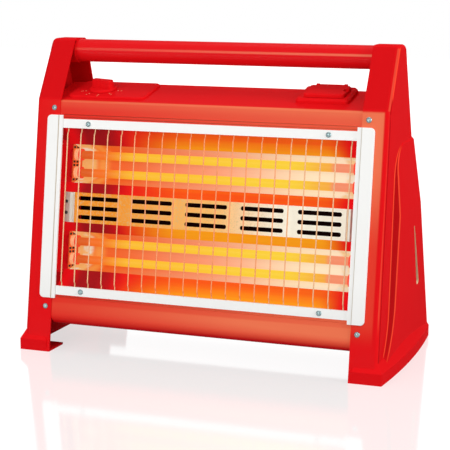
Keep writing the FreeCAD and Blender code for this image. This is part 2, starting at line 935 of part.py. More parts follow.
OPENING_TOP = S["mid_height"] + S["opening_half"]
OPENING_LOW = mirrored(OPENING_TOP)
RAIL_SCREW = OPENING_TOP + S["rail_width"] / 2
SHELL_HALF = S["panel_inner"] - S["seat_gap"]
INNER_HALF = S["end_web"] - S["seat_gap"]
TOP_HALF = S["end_web"] + S["sheet"] + S["end_lap"]
FASCIA_BACK = S["fascia_recess"] + S["sheet"]
LOW_FRONT = front_y(S["bottom_height"]) + S["fascia_recess"] / LEAN_COS
BEAD_TOP = OPENING_TOP + S["rail_width"] + S["bead_clear"]
FASCIA_EDGE = OPENING_TOP + S["sheet"] + S["seat_gap"] * 4
REAR_SCREWS = [
    (across, height)
    for across in both_sides(S["rear_screw_across"])
    for height in (REAR_TOP - S["hem"] / 2, S["bottom_height"] + S["hem"] / 2)
]


def top_y(along):
    """World Y of a distance along the sloping top."""
    return FOLD_Y + along * S["top_rise"].cos()


# sheet-metal shells
def fascia_bead(body, up):
    """Bead pressed along the fascia, a low ridge with sloping sides."""
    face = S["fascia_recess"]
    rise = S["bead_height"]
    ridge = [
        leaning(face + S["sheet"] / 2, up - rise),
        leaning(face, up - rise),
        leaning(face - rise, up - rise / 2),
        leaning(face - rise, up + rise / 2),
        leaning(face, up + rise),
        leaning(face + S["sheet"] / 2, up + rise),
    ]
    pad(body, outline(body, "YZ_Plane", ridge), S["rail_half"] * 2, symmetric=True)


def shell_notches(body, low, high, depth):
    """Cut the sheet back where it passes behind the side panels."""
    beyond = TOP_HALF + S["overcut"]
    notches = [
        box_points(SHELL_HALF, beyond, low, high),
        box_points(-beyond, -SHELL_HALF, low, high),
    ]
    pocket(body, outlines(body, "XZ_Plane", notches, -TOE), depth - TOE)


def fascia_holes(body, up):
    """Holes for the rail screws."""
    centres = [
        (across, leaning(S["fascia_recess"] + S["sheet"] / 2, up)[1])
        for across in both_sides(S["rail_screw_across"])
    ]
    depth = leaning(FASCIA_BACK, up)[0] - TOE + S["overcut"] * 2
    pocket(body, circles(body, "XZ_Plane", centres, hole_size(S["sheet"]), -TOE), depth)


def rear_holes(body, centres):
    """Level holes through the rear cover or a hem."""
    hole = S["screw_shank"] + S["screw_fit"] * 2
    start = REAR_PLANE + S["sheet"] + S["overcut"]
    sketch = circles(body, "XZ_Plane", centres, hole, -start)
    pocket(body, sketch, S["sheet"] * 2 + S["overcut"] * 2, reverse=True)


upper = new_body("upper_shell", WORLD)
pad(
    upper,
    bent_sheet(
        upper,
        "YZ_Plane",
        [
            leaning(S["fascia_recess"], FASCIA_EDGE),
            (FOLD_Y, FOLD_Z),
            (REAR_PLANE, REAR_TOP),
            (REAR_PLANE, REAR_TOP - S["hem"]),
        ],
        S["sheet"],
        -1,
    ),
    TOP_HALF * 2,
    symmetric=True,
)
fascia_bead(upper, BEAD_TOP)
fascia_bead(upper, BEAD_TOP + S["bead_pitch"])
shell_notches(
    upper,
    leaning(S["fascia_recess"], OPENING_TOP)[1] - S["overcut"],
    FOLD_Z + S["notch_depth"],
    FOLD_Y + S["notch_depth"],
)
fascia_holes(upper, RAIL_SCREW)
rear_holes(upper, REAR_SCREWS[::2])

lower = new_body("lower_shell", WORLD)
pad(
    lower,
    bent_sheet(
        lower,
        "YZ_Plane",
        [
            (REAR_PLANE, S["bottom_height"] + S["hem"]),
            (REAR_PLANE, S["bottom_height"]),
            (LOW_FRONT, S["bottom_height"]),
            leaning(S["fascia_recess"], mirrored(FASCIA_EDGE)),
        ],
        S["sheet"],
        -1,
    ),
    TOP_HALF * 2,
    symmetric=True,
)
dress(
    lower,
    "Fillet",
    S["bottom_round"] - S["sheet"],
    lambda middle, run: abs(run.x) > 0.9
    and near(middle.z, S["bottom_height"] + S["sheet"])
    and abs(middle.y - LOW_FRONT.value) < 2 * S["sheet"].value,
)
dress(
    lower,
    "Fillet",
    S["bottom_round"],
    lambda middle, run: abs(run.x) > 0.9
    and near(middle.y, LOW_FRONT)
    and near(middle.z, S["bottom_height"]),
)
fascia_bead(lower, mirrored(BEAD_TOP))
shell_notches(
    lower,
    S["bottom_height"] - S["overcut"],
    leaning(S["fascia_recess"], OPENING_LOW)[1],
    LOW_FRONT + S["bottom_round"] + S["notch_depth"],
)
fascia_holes(lower, mirrored(RAIL_SCREW))
rear_holes(lower, REAR_SCREWS[1::2])

cover = new_body("rear_cover", WORLD)
pad(
    cover,
    outline(
        cover,
        "XZ_Plane",
        box_points(-INNER_HALF, INNER_HALF, S["bottom_height"], REAR_TOP),
        -REAR_PLANE,
    ),
    S["sheet"],
    reverse=True,
)
rear_holes(cover, REAR_SCREWS)
first_across = -S["rear_slot_column"] * (S["rear_slot_columns"] - 1) / 2
slot_rise = S["rear_slot_pitch"] * (S["rear_slot_rows"] - 1)
for first_high in (
    S["bottom_height"] + S["rear_slot_margin"],
    REAR_TOP - S["rear_slot_margin"] - slot_rise,
):
    column = slot_column(
        first_across,
        first_high,
        S["rear_slot_pitch"],
        S["rear_slot_rows"],
        S["rear_slot_length"],
        S["rear_slot_width"],
    )
    slits = pocket(
        cover,
        outlines(cover, "XZ_Plane", column, -(REAR_PLANE - S["overcut"])),
        S["sheet"] + S["overcut"] * 2,
    )
    repeat(cover, slits, S["rear_slot_column"], S["rear_slot_columns"])
gland_hole = circles(
    cover,
    "XZ_Plane",
    [(-S["gland_across"], S["gland_height"])],
    S["gland_diameter"] + S["screw_fit"] * 2,
    -(REAR_PLANE - S["overcut"]),
)
pocket(cover, gland_hole, S["sheet"] + S["overcut"] * 2)


def end_plate(label, hand):
    """Upright plate closing one end of the body, with a front flange for the panel screws."""
    body = new_body(label, WORLD)
    left = hand < 0
    front = S["panel_wall"] + S["seat_gap"]
    inside = S["sheet"] + S["seat_gap"]
    low = S["panel_screw_low"] - S["screw_head"] * 4 / 3
    high = S["panel_screw_high"] + S["screw_head"] * 0.8
    rear = REAR_PLANE - inside
    floor = S["bottom_height"] + inside
    ahead = FOLD_Y + S["notch_depth"] * 2
    roof = inside / S["top_rise"].cos()
    slope = S["top_rise"].tan()
    web = [
        leaning(front, low),
        (LOW_FRONT + S["bottom_round"] * 2, floor),
        (rear, floor),
        (rear, FOLD_Z + (rear - FOLD_Y) * slope - roof),
        (ahead, FOLD_Z + (ahead - FOLD_Y) * slope - roof),
        leaning(front, high),
    ]
    pad(body, outline(body, "YZ_Plane", web, S["end_web"] * hand), S["sheet"], reverse=left)
    flange = [
        leaning(front, low),
        leaning(front + S["sheet"], low),
        leaning(front + S["sheet"], high),
        leaning(front, high),
    ]
    start = S["end_web"] + S["sheet"] - S["end_flange"]
    pad(body, outline(body, "YZ_Plane", flange, start * hand), S["end_flange"], reverse=left)
    centres = [
        (S["panel_screw_across"] * hand, leaning(front + S["sheet"] / 2, S[place])[1])
        for place in ("panel_screw_low", "panel_screw_high")
    ]
    depth = leaning(front + S["sheet"], S["panel_screw_high"])[0] - TOE + S["overcut"]
    pocket(body, circles(body, "XZ_Plane", centres, hole_size(S["sheet"]), -TOE), depth)


end_plate("right_end_plate", 1)
end_plate("left_end_plate", -1)


# linings of the opening
def lining(label, flip):
    """Red ledge between the rail and a heating bay; flip makes the lower one."""
    body = new_body(label, LEANING)
    shelf = OPENING_TOP + S["sheet"] + S["seat_gap"] * 2
    line = [
        (FASCIA_BACK, OPENING_TOP + S["rail_width"] - S["seat_gap"]),
        (FASCIA_BACK, shelf),
        (S["liner_shelf"], shelf),
        (S["bay_front"], S["mid_height"] + S["bay_offset"] + S["bay_half"]),
    ]
    screw = RAIL_SCREW
    if flip:
        line = [(into, mirrored(up)) for into, up in line]
        screw = mirrored(screw)
    side = -1 if flip else 1
    pad(
        body,
        bent_sheet(body, "YZ_Plane", line, S["liner"], side),
        S["liner_half"] * 2,
        symmetric=True,
    )
    centres = [(across, screw) for across in both_sides(S["rail_screw_across"])]
    hole = S["screw_shank"] + S["screw_fit"] * 2
    pocket(
        body,
        circles(body, "XZ_Plane", centres, hole, -(FASCIA_BACK - S["overcut"])),
        S["liner"] + S["overcut"] * 2,
    )


lining("upper_baffle", False)
lining("lower_baffle", True)

BAY_EDGE = S["bay_offset"] - S["bay_half"]
CLIP_SCREWS = [
    (across, S["mid_height"] + up)
    for across in both_sides(S["vent_half_width"] + S["clip_reach"] - S["clip_flat"] / 2)
    for up in both_sides(S["clip_screw_pitch"] / 2)
]
CLIP_HOLE = S["clip_screw_shank"] + S["screw_fit"] * 2
channel = new_body("centre_channel", LEANING)
pad(
    channel,
    bent_sheet(
        channel,
        "YZ_Plane",
        [
            (S["bay_front"], S["mid_height"] + BAY_EDGE),
            (S["channel_front"], S["mid_height"] + S["channel_half"]),
            (S["channel_front"], S["mid_height"] - S["channel_half"]),
            (S["bay_front"], S["mid_height"] - BAY_EDGE),
        ],
        S["liner"],
        1,
    ),
    INNER_HALF * 2,
    symmetric=True,
)
first_group = -S["vent_group_pitch"] * (S["vent_groups"] - 1) / 2
first_row = S["mid_height"] - S["vent_row_pitch"] * (S["vent_rows"] - 1) / 2
window_half = S["vent_slot_length"] / 2 + S["vent_window_margin"]
window_up = S["mid_height"] - first_row + S["vent_slot_width"] / 2 + S["vent_window_margin"] / 2
window_row = pocket(
    channel,
    outline(
        channel,
        "XZ_Plane",
        box_points(
            first_group - window_half,
            first_group + window_half,
            S["mid_height"] - window_up,
            S["mid_height"] + window_up,
            S["vent_window_margin"],
        ),
        -(S["channel_front"] - S["overcut"]),
    ),
    S["liner"] + S["overcut"] * 2,
)
repeat(channel, window_row, S["vent_group_pitch"], S["vent_groups"])
pocket(
    channel,
    circles(channel, "XZ_Plane", CLIP_SCREWS, CLIP_HOLE, -(S["channel_front"] - S["overcut"])),
    S["liner"] + S["overcut"] * 2,
)

vent = new_body("vent_plate", LEANING)
pad(
    vent,
    outline(
        vent,
        "XZ_Plane",
        box_points(
            -S["vent_half_width"],
            S["vent_half_width"],
            S["mid_height"] - S["vent_half_height"],
            S["mid_height"] + S["vent_half_height"],
        ),
        -S["channel_front"],
    ),
    S["vent_sheet"],
)
vent_column = slot_column(
    first_group,
    first_row,
    S["vent_row_pitch"],
    S["vent_rows"],
    S["vent_slot_length"],
    S["vent_slot_width"],
)
vent_slots = pocket(
    vent,
    outlines(vent, "XZ_Plane", vent_column, -(S["channel_front"] - S["vent_sheet"] - S["overcut"])),
    S["vent_sheet"] + S["overcut"] * 2,
)
repeat(vent, vent_slots, S["vent_group_pitch"], S["vent_groups"])

clips = new_body("vent_end_clips", LEANING)
for hand in (1, -1):
    base = S["channel_front"] - S["vent_sheet"]
    begin = S["vent_half_width"] + S["seat_gap"] * 2
    flat_start = S["vent_half_width"] + S["clip_reach"] - S["clip_flat"]
    crown = (flat_start - begin) / 4
    clip_line = [
        (begin * hand, base),
        ((begin + crown) * hand, base - S["clip_bulge"]),
        ((flat_start - crown) * hand, base - S["clip_bulge"]),
        (flat_start * hand, base),
        ((flat_start + S["clip_flat"]) * hand, base),
    ]
    clip_low = S["mid_height"] - S["vent_half_height"]
    pad(
        clips,
        bent_sheet(clips, "XY_Plane", clip_line, S["vent_sheet"], hand, clip_low),
        S["vent_half_height"] * 2,
    )
pocket(
    clips,
    circles(clips, "XZ_Plane", CLIP_SCREWS, CLIP_HOLE, -(S["channel_front"] - S["clip_bulge"])),
    S["clip_bulge"] + S["overcut"],
)


# heating bays
def bay_centre(upper_bay):
    return S["mid_height"] + (S["bay_offset"] if upper_bay else -S["bay_offset"])


MOUTH = S["bay_front"] + S["liner"] + S["seat_gap"]
MOUTH_HALF = S["bay_half"] + S["liner"]
TROUGH_SLOPE = (MOUTH_HALF - S["reflector_floor"]) / (S["reflector_back"] - MOUTH)
TUBE_CENTRES = [
    (S["tube_depth"], bay_centre(upper_bay) + step)
    for upper_bay in (True, False)
    for step in (S["tube_pitch"] / 2, -S["tube_pitch"] / 2)
]
for name, upper_bay in (("upper_reflector", True), ("lower_reflector", False)):
    trough = new_body(name, LEANING)
    middle = bay_centre(upper_bay)
    half_line = [
        (MOUTH, MOUTH_HALF + S["reflector_lip"]),
        (MOUTH, MOUTH_HALF),
        (S["reflector_back"], S["reflector_floor"]),
    ]
    trough_line = [(into, middle + up) for into, up in half_line]
    trough_line += [(into, middle - up) for into, up in reversed(half_line)]
    pad(
        trough,
        bent_sheet(trough, "YZ_Plane", trough_line, S["reflector_sheet"], 1),
        INNER_HALF * 2,
        symmetric=True,
    )

TUBE_HALF = S["cap_outer"] - S["cap_length"] + S["cap_seat"] - S["seat_gap"]
for number, centre in enumerate(TUBE_CENTRES, start=1):
    tube_along_x(
        "quartz_tube_%d" % number,
        centre,
        S["tube_diameter"],
        S["tube_bore"],
        TUBE_HALF,
        LEANING,
    )
    coil = new_body("filament_%d" % number, LEANING)
    coil_ring = circles(coil, "YZ_Plane", [centre], S["coil_diameter"])
    pad(coil, coil_ring, S["coil_half"] * 2, symmetric=True)
    lead_ring = circles(coil, "YZ_Plane", [centre], S["coil_lead"])
    pad(coil, lead_ring, (S["cap_outer"] - S["overcut"]) * 2, symmetric=True)


def end_caps(label, hand):
    """Ceramic caps of one end, cups that take the tube end and pass its lead."""
    body = new_body(label, LEANING)
    left = hand < 0
    start = (S["cap_outer"] - S["cap_length"]) * hand
    before = start - S["overcut"] * hand
    pad(
        body,
        circles(body, "YZ_Plane", TUBE_CENTRES, S["cap_diameter"], start),
        S["cap_length"],
        reverse=left,
    )
    seat = S["tube_diameter"] + S["cap_fit"] * 2
    pocket(
        body,
        circles(body, "YZ_Plane", TUBE_CENTRES, seat, before),
        S["cap_seat"] + S["overcut"],
        reverse=not left,
    )
    lead = S["coil_lead"] + S["screw_fit"] * 2
    pocket(
        body,
        circles(body, "YZ_Plane", TUBE_CENTRES, lead, before),
        S["cap_length"] + S["overcut"] * 2,
        reverse=not left,
    )


end_caps("right_end_caps", 1)
end_caps("left_end_caps", -1)


def tube_brackets(label, hand):
    """Two plates of one end, each holding the caps of one bay inside its trough."""
    body = new_body(label, LEANING)
    left = hand < 0
    place = S["bracket_place"] * hand
    front = MOUTH + S["overcut"]
    back = S["reflector_back"] - S["bracket_inset"]
    front_half = MOUTH_HALF - (front - MOUTH) * TROUGH_SLOPE - S["bracket_inset"]
    back_half = S["reflector_floor"] - S["bracket_inset"] / 2
    plates = []
    for upper_bay in (True, False):
        middle = bay_centre(upper_bay)
        plates.append(
            [
                (front, middle - front_half),
                (back, middle - back_half),
                (back, middle + back_half),
                (front, middle + front_half),
            ]
        )
    pad(body, outlines(body, "YZ_Plane", plates, place), S["sheet"], reverse=left)
    hole = S["cap_diameter"] + S["cap_fit"] * 2
    pocket(
        body,
        circles(body, "YZ_Plane", TUBE_CENTRES, hole, place - S["overcut"] * hand),
        S["sheet"] + S["overcut"] * 2,
        reverse=not left,
    )


tube_brackets("right_tube_brackets", 1)
tube_brackets("left_tube_brackets", -1)


# trim around the opening and the wire guard
def trim_strip(label, hand):
    """Upright strip over the joint of panel and opening, stepped along its inner edge."""
    body = new_body(label, LEANING)
    section = [
        (S["trim_inner"] * hand, S["trim_lip"]),
        (S["trim_inner"] * hand, -S["trim_lip"]),
        (S["trim_groove"] * hand, -S["trim_lip"]),
        (S["trim_groove"] * hand, -S["trim_thick"]),
        (S["trim_outer"] * hand, -S["trim_thick"]),
        (S["trim_outer"] * hand, ZERO),
        ((S["trim_inner"] + S["sheet"]) * hand, ZERO),
        ((S["trim_inner"] + S["sheet"]) * hand, S["trim_lip"]),
    ]
    low = S["mid_height"] - S["trim_half"]
    pad(body, outline(body, "XY_Plane", section, low), S["trim_half"] * 2)
    dress(
        body,
        "Fillet",
        S["trim_corner"],
        lambda middle, run: abs(run.y) > 0.9 and near(abs(middle.x), S["trim_outer"]),
    )
    dress(
        body,
        "Fillet",
        S["trim_thick"] / 3,
        lambda middle, run: near(middle.y, -S["trim_thick"]),
    )


trim_strip("right_trim_strip", 1)
trim_strip("left_trim_strip", -1)


def trim_rail(label, flip):
    """Level rail on the fascia with a return flange that ends the guard wires."""
    body = new_body(label, LEANING)
    face = S["fascia_recess"] - S["sheet"]
    line = [
        (face, OPENING_TOP + S["rail_width"]),
        (face, OPENING_TOP),
        (S["rail_return"], OPENING_TOP),
    ]
    screw = RAIL_SCREW
    if flip:
        line = [(into, mirrored(up)) for into, up in line]
        screw = mirrored(screw)
    pad(
        body,
        bent_sheet(body, "YZ_Plane", line, S["sheet"], -1 if flip else 1),
        S["rail_half"] * 2,
        symmetric=True,
    )
    centres = [(across, screw) for across in both_sides(S["rail_screw_across"])]
    hole = S["screw_shank"] + S["screw_fit"] * 2
    pocket(body, circles(body, "XZ_Plane", centres, hole, -(face - S["overcut"])), S["rail_return"])


trim_rail("top_trim_rail", False)
trim_rail("bottom_trim_rail", True)

guard = new_body("guard_wires", LEANING)
first_wire = -S["wire_pitch"] * (S["wire_count"] - 1) / 2
wire_low = OPENING_LOW + S["seat_gap"]
wire_high = OPENING_TOP - S["seat_gap"]
wire_line = [
    (S["wire_end"], wire_low),
    (S["wire_end"], wire_low + S["wire_kink"] / 2),
    (S["wire_front"], wire_low + S["wire_kink"]),
    (S["wire_front"], wire_high - S["wire_kink"]),
    (S["wire_end"], wire_high - S["wire_kink"] / 2),
    (S["wire_end"], wire_high),
]
spine = new_sketch(guard, "YZ_Plane", first_wire)
spine_points = sized(wire_line)
spine_lines = [
    spine.addGeometry(Part.LineSegment(flat(a), flat(b)))
    for a, b in zip(spine_points, spine_points[1:])
]
for a, b in zip(spine_lines, spine_lines[1:]):
    spine.addConstraint(Sketcher.Constraint("Coincident", a, 2, b, 1))
for line, point in zip(spine_lines, spine_points):
    fix_point(spine, line, 1, point)
fix_point(spine, spine_lines[-1], 2, spine_points[-1])
wire_ring = circles(
    guard, "XY_Plane", [(first_wire, S["wire_end"])], S["wire_diameter"], wire_low
)
wire = guard.newObject("PartDesign::AdditivePipe", "guard_wire")
wire.Profile = wire_ring
wire.Spine = spine
wire.Transition = "Right corner"
settle(guard, wire)
repeat(guard, wire, S["wire_pitch"], S["wire_count"])


# fasteners
def screws(label, centres, seat, head, shank, length, placement, outward=False):
    """Pan-head screws standing on a seat plane; outward turns the heads to the rear."""
    body = new_body(label, placement)
    heads = circles(body, "XZ_Plane", centres, head, -seat)
    pad(body, heads, S["screw_head_height"], reverse=outward)
    end = seat + S["screw_head_height"] * (1 if outward else -1)
    dress(
        body,
        "Fillet",
        S["screw_head_height"] / 2,
        lambda middle, run: near(middle.y, end),
    )
    pad(body, circles(body, "XZ_Plane", centres, shank, -seat), length, reverse=not outward)


screws(
    "panel_screws",
    [
        (across, S[place])
        for across in both_sides(S["panel_screw_across"])
        for place in ("panel_screw_low", "panel_screw_high")
    ],
    ZERO,
    S["screw_head"],
    S["screw_shank"],
    S["screw_length"],
    LEANING,
)
screws(
    "rail_screws",
    [
        (across, up)
        for across in both_sides(S["rail_screw_across"])
        for up in (RAIL_SCREW, mirrored(RAIL_SCREW))
    ],
    S["fascia_recess"] - S["sheet"],
    S["screw_head"],
    S["screw_shank"],
    S["screw_length"] / 2,
    LEANING,
)
screws(
    "rear_screws",
    REAR_SCREWS,
    REAR_PLANE + S["sheet"],
    S["screw_head"],
    S["screw_shank"],
    S["screw_length"] / 2,
    WORLD,
    outward=True,
)
screws(
    "clip_screws",
    CLIP_SCREWS,
    S["channel_front"] - S["vent_sheet"],
    S["clip_screw_head"],
    S["clip_screw_shank"],
    S["screw_length"] / 2,
    LEANING,
)


# controls on the top
def top_point(across, along):
    return FreeCAD.Placement(Vector(as_size(across).value, as_size(along).value, 0), FreeCAD.Rotation())


BUSH_HOLE = S["bush_diameter"] + S["overcut"]
pocket(
    upper,
    circles(
        upper,
        "XY_Plane",
        [(-S["knob_across"], top_y(S["knob_along"]))],
        BUSH_HOLE,
        REAR_TOP + S["overcut"],
    ),
    REAR_TOP - FOLD_Z + S["overcut"] * 3,
)
dial = new_body("control_plate", TOP)
pad(
    dial,
    outline(
        dial,
        "XY_Plane",
        box_points(
            -S["dial_left"],
            -S["dial_right"],
            S["dial_front"],
            S["dial_rear"],
            S["dial_corner"],
        ),
    ),
    S["dial_thick"],
)
dress(dial, "Chamfer", S["dial_bevel"], lambda middle, run: near(middle.z, S["dial_thick"]))
pocket(
    dial,
    circles(
        dial,
        "XY_Plane",
        [(-S["knob_across"], S["knob_along"])],
        BUSH_HOLE,
        S["dial_thick"] + S["overcut"],
    ),
    S["dial_thick"] + S["overcut"] * 2,
)

KNOB_PLACE = TOP.multiply(top_point(-S["knob_across"], S["knob_along"]))
KNOB_TURNED = KNOB_PLACE.multiply(
    FreeCAD.Placement(Vector(), FreeCAD.Rotation(Vector(0, 0, 1), -S["knob_turned"].value))
)
knob_low = S["dial_thick"] + S["knob_gap"]
bore_radius = S["shaft_diameter"] / 2 + S["shaft_fit"]
shaft_top = knob_low + S["shaft_into_knob"]
knob = new_body("selector_knob", KNOB_TURNED)
revolve(
    knob,
    outline(
        knob,
        "XZ_Plane",
        [
            (bore_radius, knob_low),
            (S["knob_skirt"] / 2, knob_low),
            (S["knob_skirt"] / 2, knob_low + S["knob_skirt_height"] / 2, S["overcut"] / 2),
            (S["knob_base"] / 2, knob_low + S["knob_skirt_height"], S["overcut"] / 2),
            (S["knob_wing_width"] / 2, knob_low + S["knob_skirt_height"]),
            (S["knob_wing_width"] / 2, shaft_top + S["knob_round"] / 2),
            (ZERO, shaft_top + S["knob_round"] / 2),
            (ZERO, shaft_top + S["shaft_fit"]),
            (bore_radius, shaft_top + S["shaft_fit"]),
        ],
    ),
    "V_Axis",
)
wing_half = S["knob_wing"] / 2
wing_side = S["knob_wing_width"] / 2
wing_base = knob_low + S["knob_skirt_height"] - S["overcut"] / 2
wing_points = box_points(-wing_half, wing_half, -wing_side, wing_side, wing_side * 0.8)
pad(
    knob,
    outline(knob, "XY_Plane", wing_points, wing_base),
    knob_low + S["knob_height"] - wing_base,
    taper=-S["knob_wing_taper"],
)
dress(
    knob,
    "Fillet",
    S["knob_round"] / 2,
    lambda middle, run: near(middle.z, knob_low + S["knob_height"]),
)
bore = circles(knob, "XY_Plane", [(ZERO, ZERO)], bore_radius * 2, knob_low - S["overcut"])
pocket(knob, bore, shaft_top + S["shaft_fit"] - knob_low + S["overcut"], reverse=True)
switch_top = -S["sheet"]
shaft = new_body("switch_shaft", KNOB_PLACE)
pad(
    shaft,
    circles(shaft, "XY_Plane", [(ZERO, ZERO)], S["shaft_diameter"], switch_top - S["shaft_depth"]),
    shaft_top - switch_top + S["shaft_depth"],
)
switch = new_body("rotary_switch", KNOB_PLACE)
switch_half = S["switch_size"] / 2
pad(
    switch,
    outline(
        switch,
        "XY_Plane",
        box_points(-switch_half, switch_half, -switch_half, switch_half, S["knob_round"]),
        switch_top,
    ),
    S["switch_height"],
    reverse=True,
)
pad(
    switch,
    circles(switch, "XY_Plane", [(ZERO, ZERO)], S["bush_diameter"], switch_top),
    S["dial_thick"] + S["sheet"],
)
pocket(
    switch,
    circles(
        switch,
        "XY_Plane",
        [(ZERO, ZERO)],
        bore_radius * 2,
        S["dial_thick"] + S["overcut"],
    ),
    S["dial_thick"] + S["overcut"] + S["sheet"] + S["shaft_depth"] + S["seat_gap"],
)

# humidifier: frame, cup and hinged lid
well = {
    "left": S["tank_left"] + S["well_margin_left"],
    "right": S["tank_right"] - S["well_margin_right"],
    "front": S["tank_front"] + S["well_margin_front"],
    "rear": S["tank_rear"] - S["well_margin_rear"],
}


def well_box(grow, corner=None):
    return box_points(
        well["left"] - grow, well["right"] + grow, well["front"] - grow, well["rear"] + grow, corner
    )


TANK_MID = (well["left"] + well["right"]) / 2
hinge_along = well["rear"] + S["lid_lap"] + S["hinge_diameter"]
lid_low = S["tank_rim"] + S["lid_gap"]
knuckle = S["hinge_diameter"] / 2 + S["lid_gap"] / 2
hinge_high = lid_low + knuckle
knuckle_half = (well["right"] - well["left"]) / 3
ear_inner = knuckle_half + S["lid_gap"]
frame = new_body("humidifier_frame", TOP)
pad(
    frame,
    outline(
        frame,
        "XY_Plane",
        box_points(S["tank_left"], S["tank_right"], S["tank_front"], S["tank_rear"], S["tank_corner"]),
    ),
    S["tank_rim"],
)
dress(frame, "Chamfer", S["tank_bevel"], lambda middle, run: near(middle.z, S["tank_rim"]))
pocket(
    frame,
    outline(frame, "XY_Plane", well_box(ZERO, S["lid_corner"] / 2), S["tank_rim"] + S["overcut"]),
    S["tank_rim"] + S["overcut"] * 2,
)
for hand in (1, -1):
    ear_start = TANK_MID + ear_inner * hand
    ear = [
        (hinge_along - S["hinge_ear_round"], S["tank_rim"] - S["overcut"]),
        (hinge_along + S["hinge_ear_round"], S["tank_rim"] - S["overcut"]),
        (
            hinge_along + S["hinge_ear_round"],
            hinge_high + S["hinge_ear_round"],
            S["hinge_ear_round"] * 0.9,
        ),
        (
            hinge_along - S["hinge_ear_round"],
            hinge_high + S["hinge_ear_round"],
            S["hinge_ear_round"] * 0.9,
        ),
    ]
    pad(frame, outline(frame, "YZ_Plane", ear, ear_start), S["hinge_ear"], reverse=hand < 0)
    pocket(
        frame,
        circles(
            frame,
            "YZ_Plane",
            [(hinge_along, hinge_high)],
            S["hinge_diameter"] + S["hinge_fit"] * 2,
            ear_start - S["overcut"] * hand,
        ),
        S["hinge_ear"] + S["overcut"] * 2,
        reverse=hand > 0,
    )

lid = new_body("humidifier_lid", TOP)
pad(
    lid,
    outline(lid, "XY_Plane", well_box(S["lid_lap"], S["lid_corner"]), lid_low),
    S["lid_thick"],
)
dress(
    lid,
    "Fillet",
    S["lid_thick"] / 3,
    lambda middle, run: near(middle.z, lid_low + S["lid_thick"]),
)
pad(
    lid,
    outline(lid, "XY_Plane", well_box(-S["lid_gap"] * 2, S["lid_corner"] / 2), lid_low),
    S["lid_plug"],
    reverse=True,
)
well_mid = (well["front"] + well["rear"]) / 2
pocket(
    lid,
    circles(
        lid,
        "XY_Plane",
        [(well["right"] + S["lid_lap"], well_mid)],
        S["lid_notch"],
        lid_low + S["lid_thick"] + S["overcut"],
    ),
    S["lid_thick"] / 2 + S["overcut"],
)
arm = [
    (well["rear"], lid_low),
    (hinge_along + knuckle, lid_low, knuckle * 0.9),
    (hinge_along + knuckle, hinge_high + knuckle, knuckle * 0.9),
    (well["rear"], hinge_high + knuckle),
]
pad(
    lid,
    outline(lid, "YZ_Plane", arm, TANK_MID - knuckle_half),
    knuckle_half * 2,
)
pad(
    lid,
    circles(
        lid,
        "YZ_Plane",
        [(hinge_along, hinge_high)],
        S["hinge_diameter"],
        TANK_MID - ear_inner - S["hinge_ear"],
    ),
    (ear_inner + S["hinge_ear"]) * 2,
)

cup_box = S["seat_gap"] * 2 + S["cup_flange"]
cup = new_body("water_cup", TOP)
pad(cup, outline(cup, "XY_Plane", well_box(-S["seat_gap"] * 2, S["lid_corner"] / 2)), S["cup_wall"])
pad(
    cup,
    outline(cup, "XY_Plane", well_box(-cup_box, S["lid_corner"])),
    S["cup_depth"],
    reverse=True,
)
pocket(
    cup,
    outline(
        cup,
        "XY_Plane",
        well_box(-(cup_box + S["cup_wall"]), S["lid_corner"] - S["cup_wall"]),
        S["cup_wall"] + S["overcut"],
    ),
    S["cup_depth"] + S["overcut"],
)
cup_clear = S["seat_gap"] * 3
pocket(
    upper,
    outline(
        upper,
        "XY_Plane",
        box_points(
            well["left"] + cup_box - cup_clear,
            well["right"] - cup_box + cup_clear,
            top_y(well["front"] + cup_box) - cup_clear,
            top_y(well["rear"] - cup_box) + cup_clear,
            S["lid_corner"],
        ),
        REAR_TOP + S["overcut"],
    ),
    REAR_TOP - FOLD_Z + S["overcut"] * 3,
)

# electrical pieces on the floor, the reflector and the rear cover
FLOOR = S["bottom_height"] + S["sheet"]


def floor_box(label, across, width, depth, height):
    body = new_body(label, WORLD)
    middle = REAR_PLANE - S["parts_behind"]
    points = box_points(
        across - width / 2,
        across + width / 2,
        middle - depth / 2,
        middle + depth / 2,
        S["knob_round"],
    )
    pad(body, outline(body, "XY_Plane", points, FLOOR), height)
    return body


block = floor_box(
    "terminal_block", -S["block_across"], S["block_width"], S["block_depth"], S["block_height"]
)
pocket(
    block,
    circles(
        block,
        "XZ_Plane",
        [
            (-S["block_across"] + S["block_pitch"] * step, FLOOR + S["block_height"] / 2)
            for step in (-1.5, -0.5, 0.5, 1.5)
        ],
        S["block_bore"],
        -(REAR_PLANE - S["parts_behind"] - S["block_depth"]),
    ),
    S["block_depth"] * 2,
)
floor_box("tilt_switch", S["tilt_across"], S["tilt_width"], S["tilt_depth"], S["tilt_height"])
cutout = new_body("thermal_cutout", LEANING)
pad(
    cutout,
    circles(
        cutout,
        "XZ_Plane",
        [(S["cutout_across"], bay_centre(True))],
        S["cutout_diameter"],
        -(S["reflector_back"] + S["reflector_sheet"]),
    ),
    S["cutout_height"],
    reverse=True,
)
gland = new_body("cord_gland", WORLD)
gland_centre = [(-S["gland_across"], S["gland_height"])]
outside = REAR_PLANE + S["sheet"]
pad(
    gland,
    circles(gland, "XZ_Plane", gland_centre, S["gland_flange"], -outside),
    S["gland_thick"],
    reverse=True,
)
pad(gland, circles(gland, "XZ_Plane", gland_centre, S["gland_diameter"], -outside), S["gland_reach"])
pocket(
    gland,
    circles(gland, "XZ_Plane", gland_centre, S["gland_bore"], -(outside - S["gland_reach"] * 2)),
    S["gland_reach"] * 4,
)

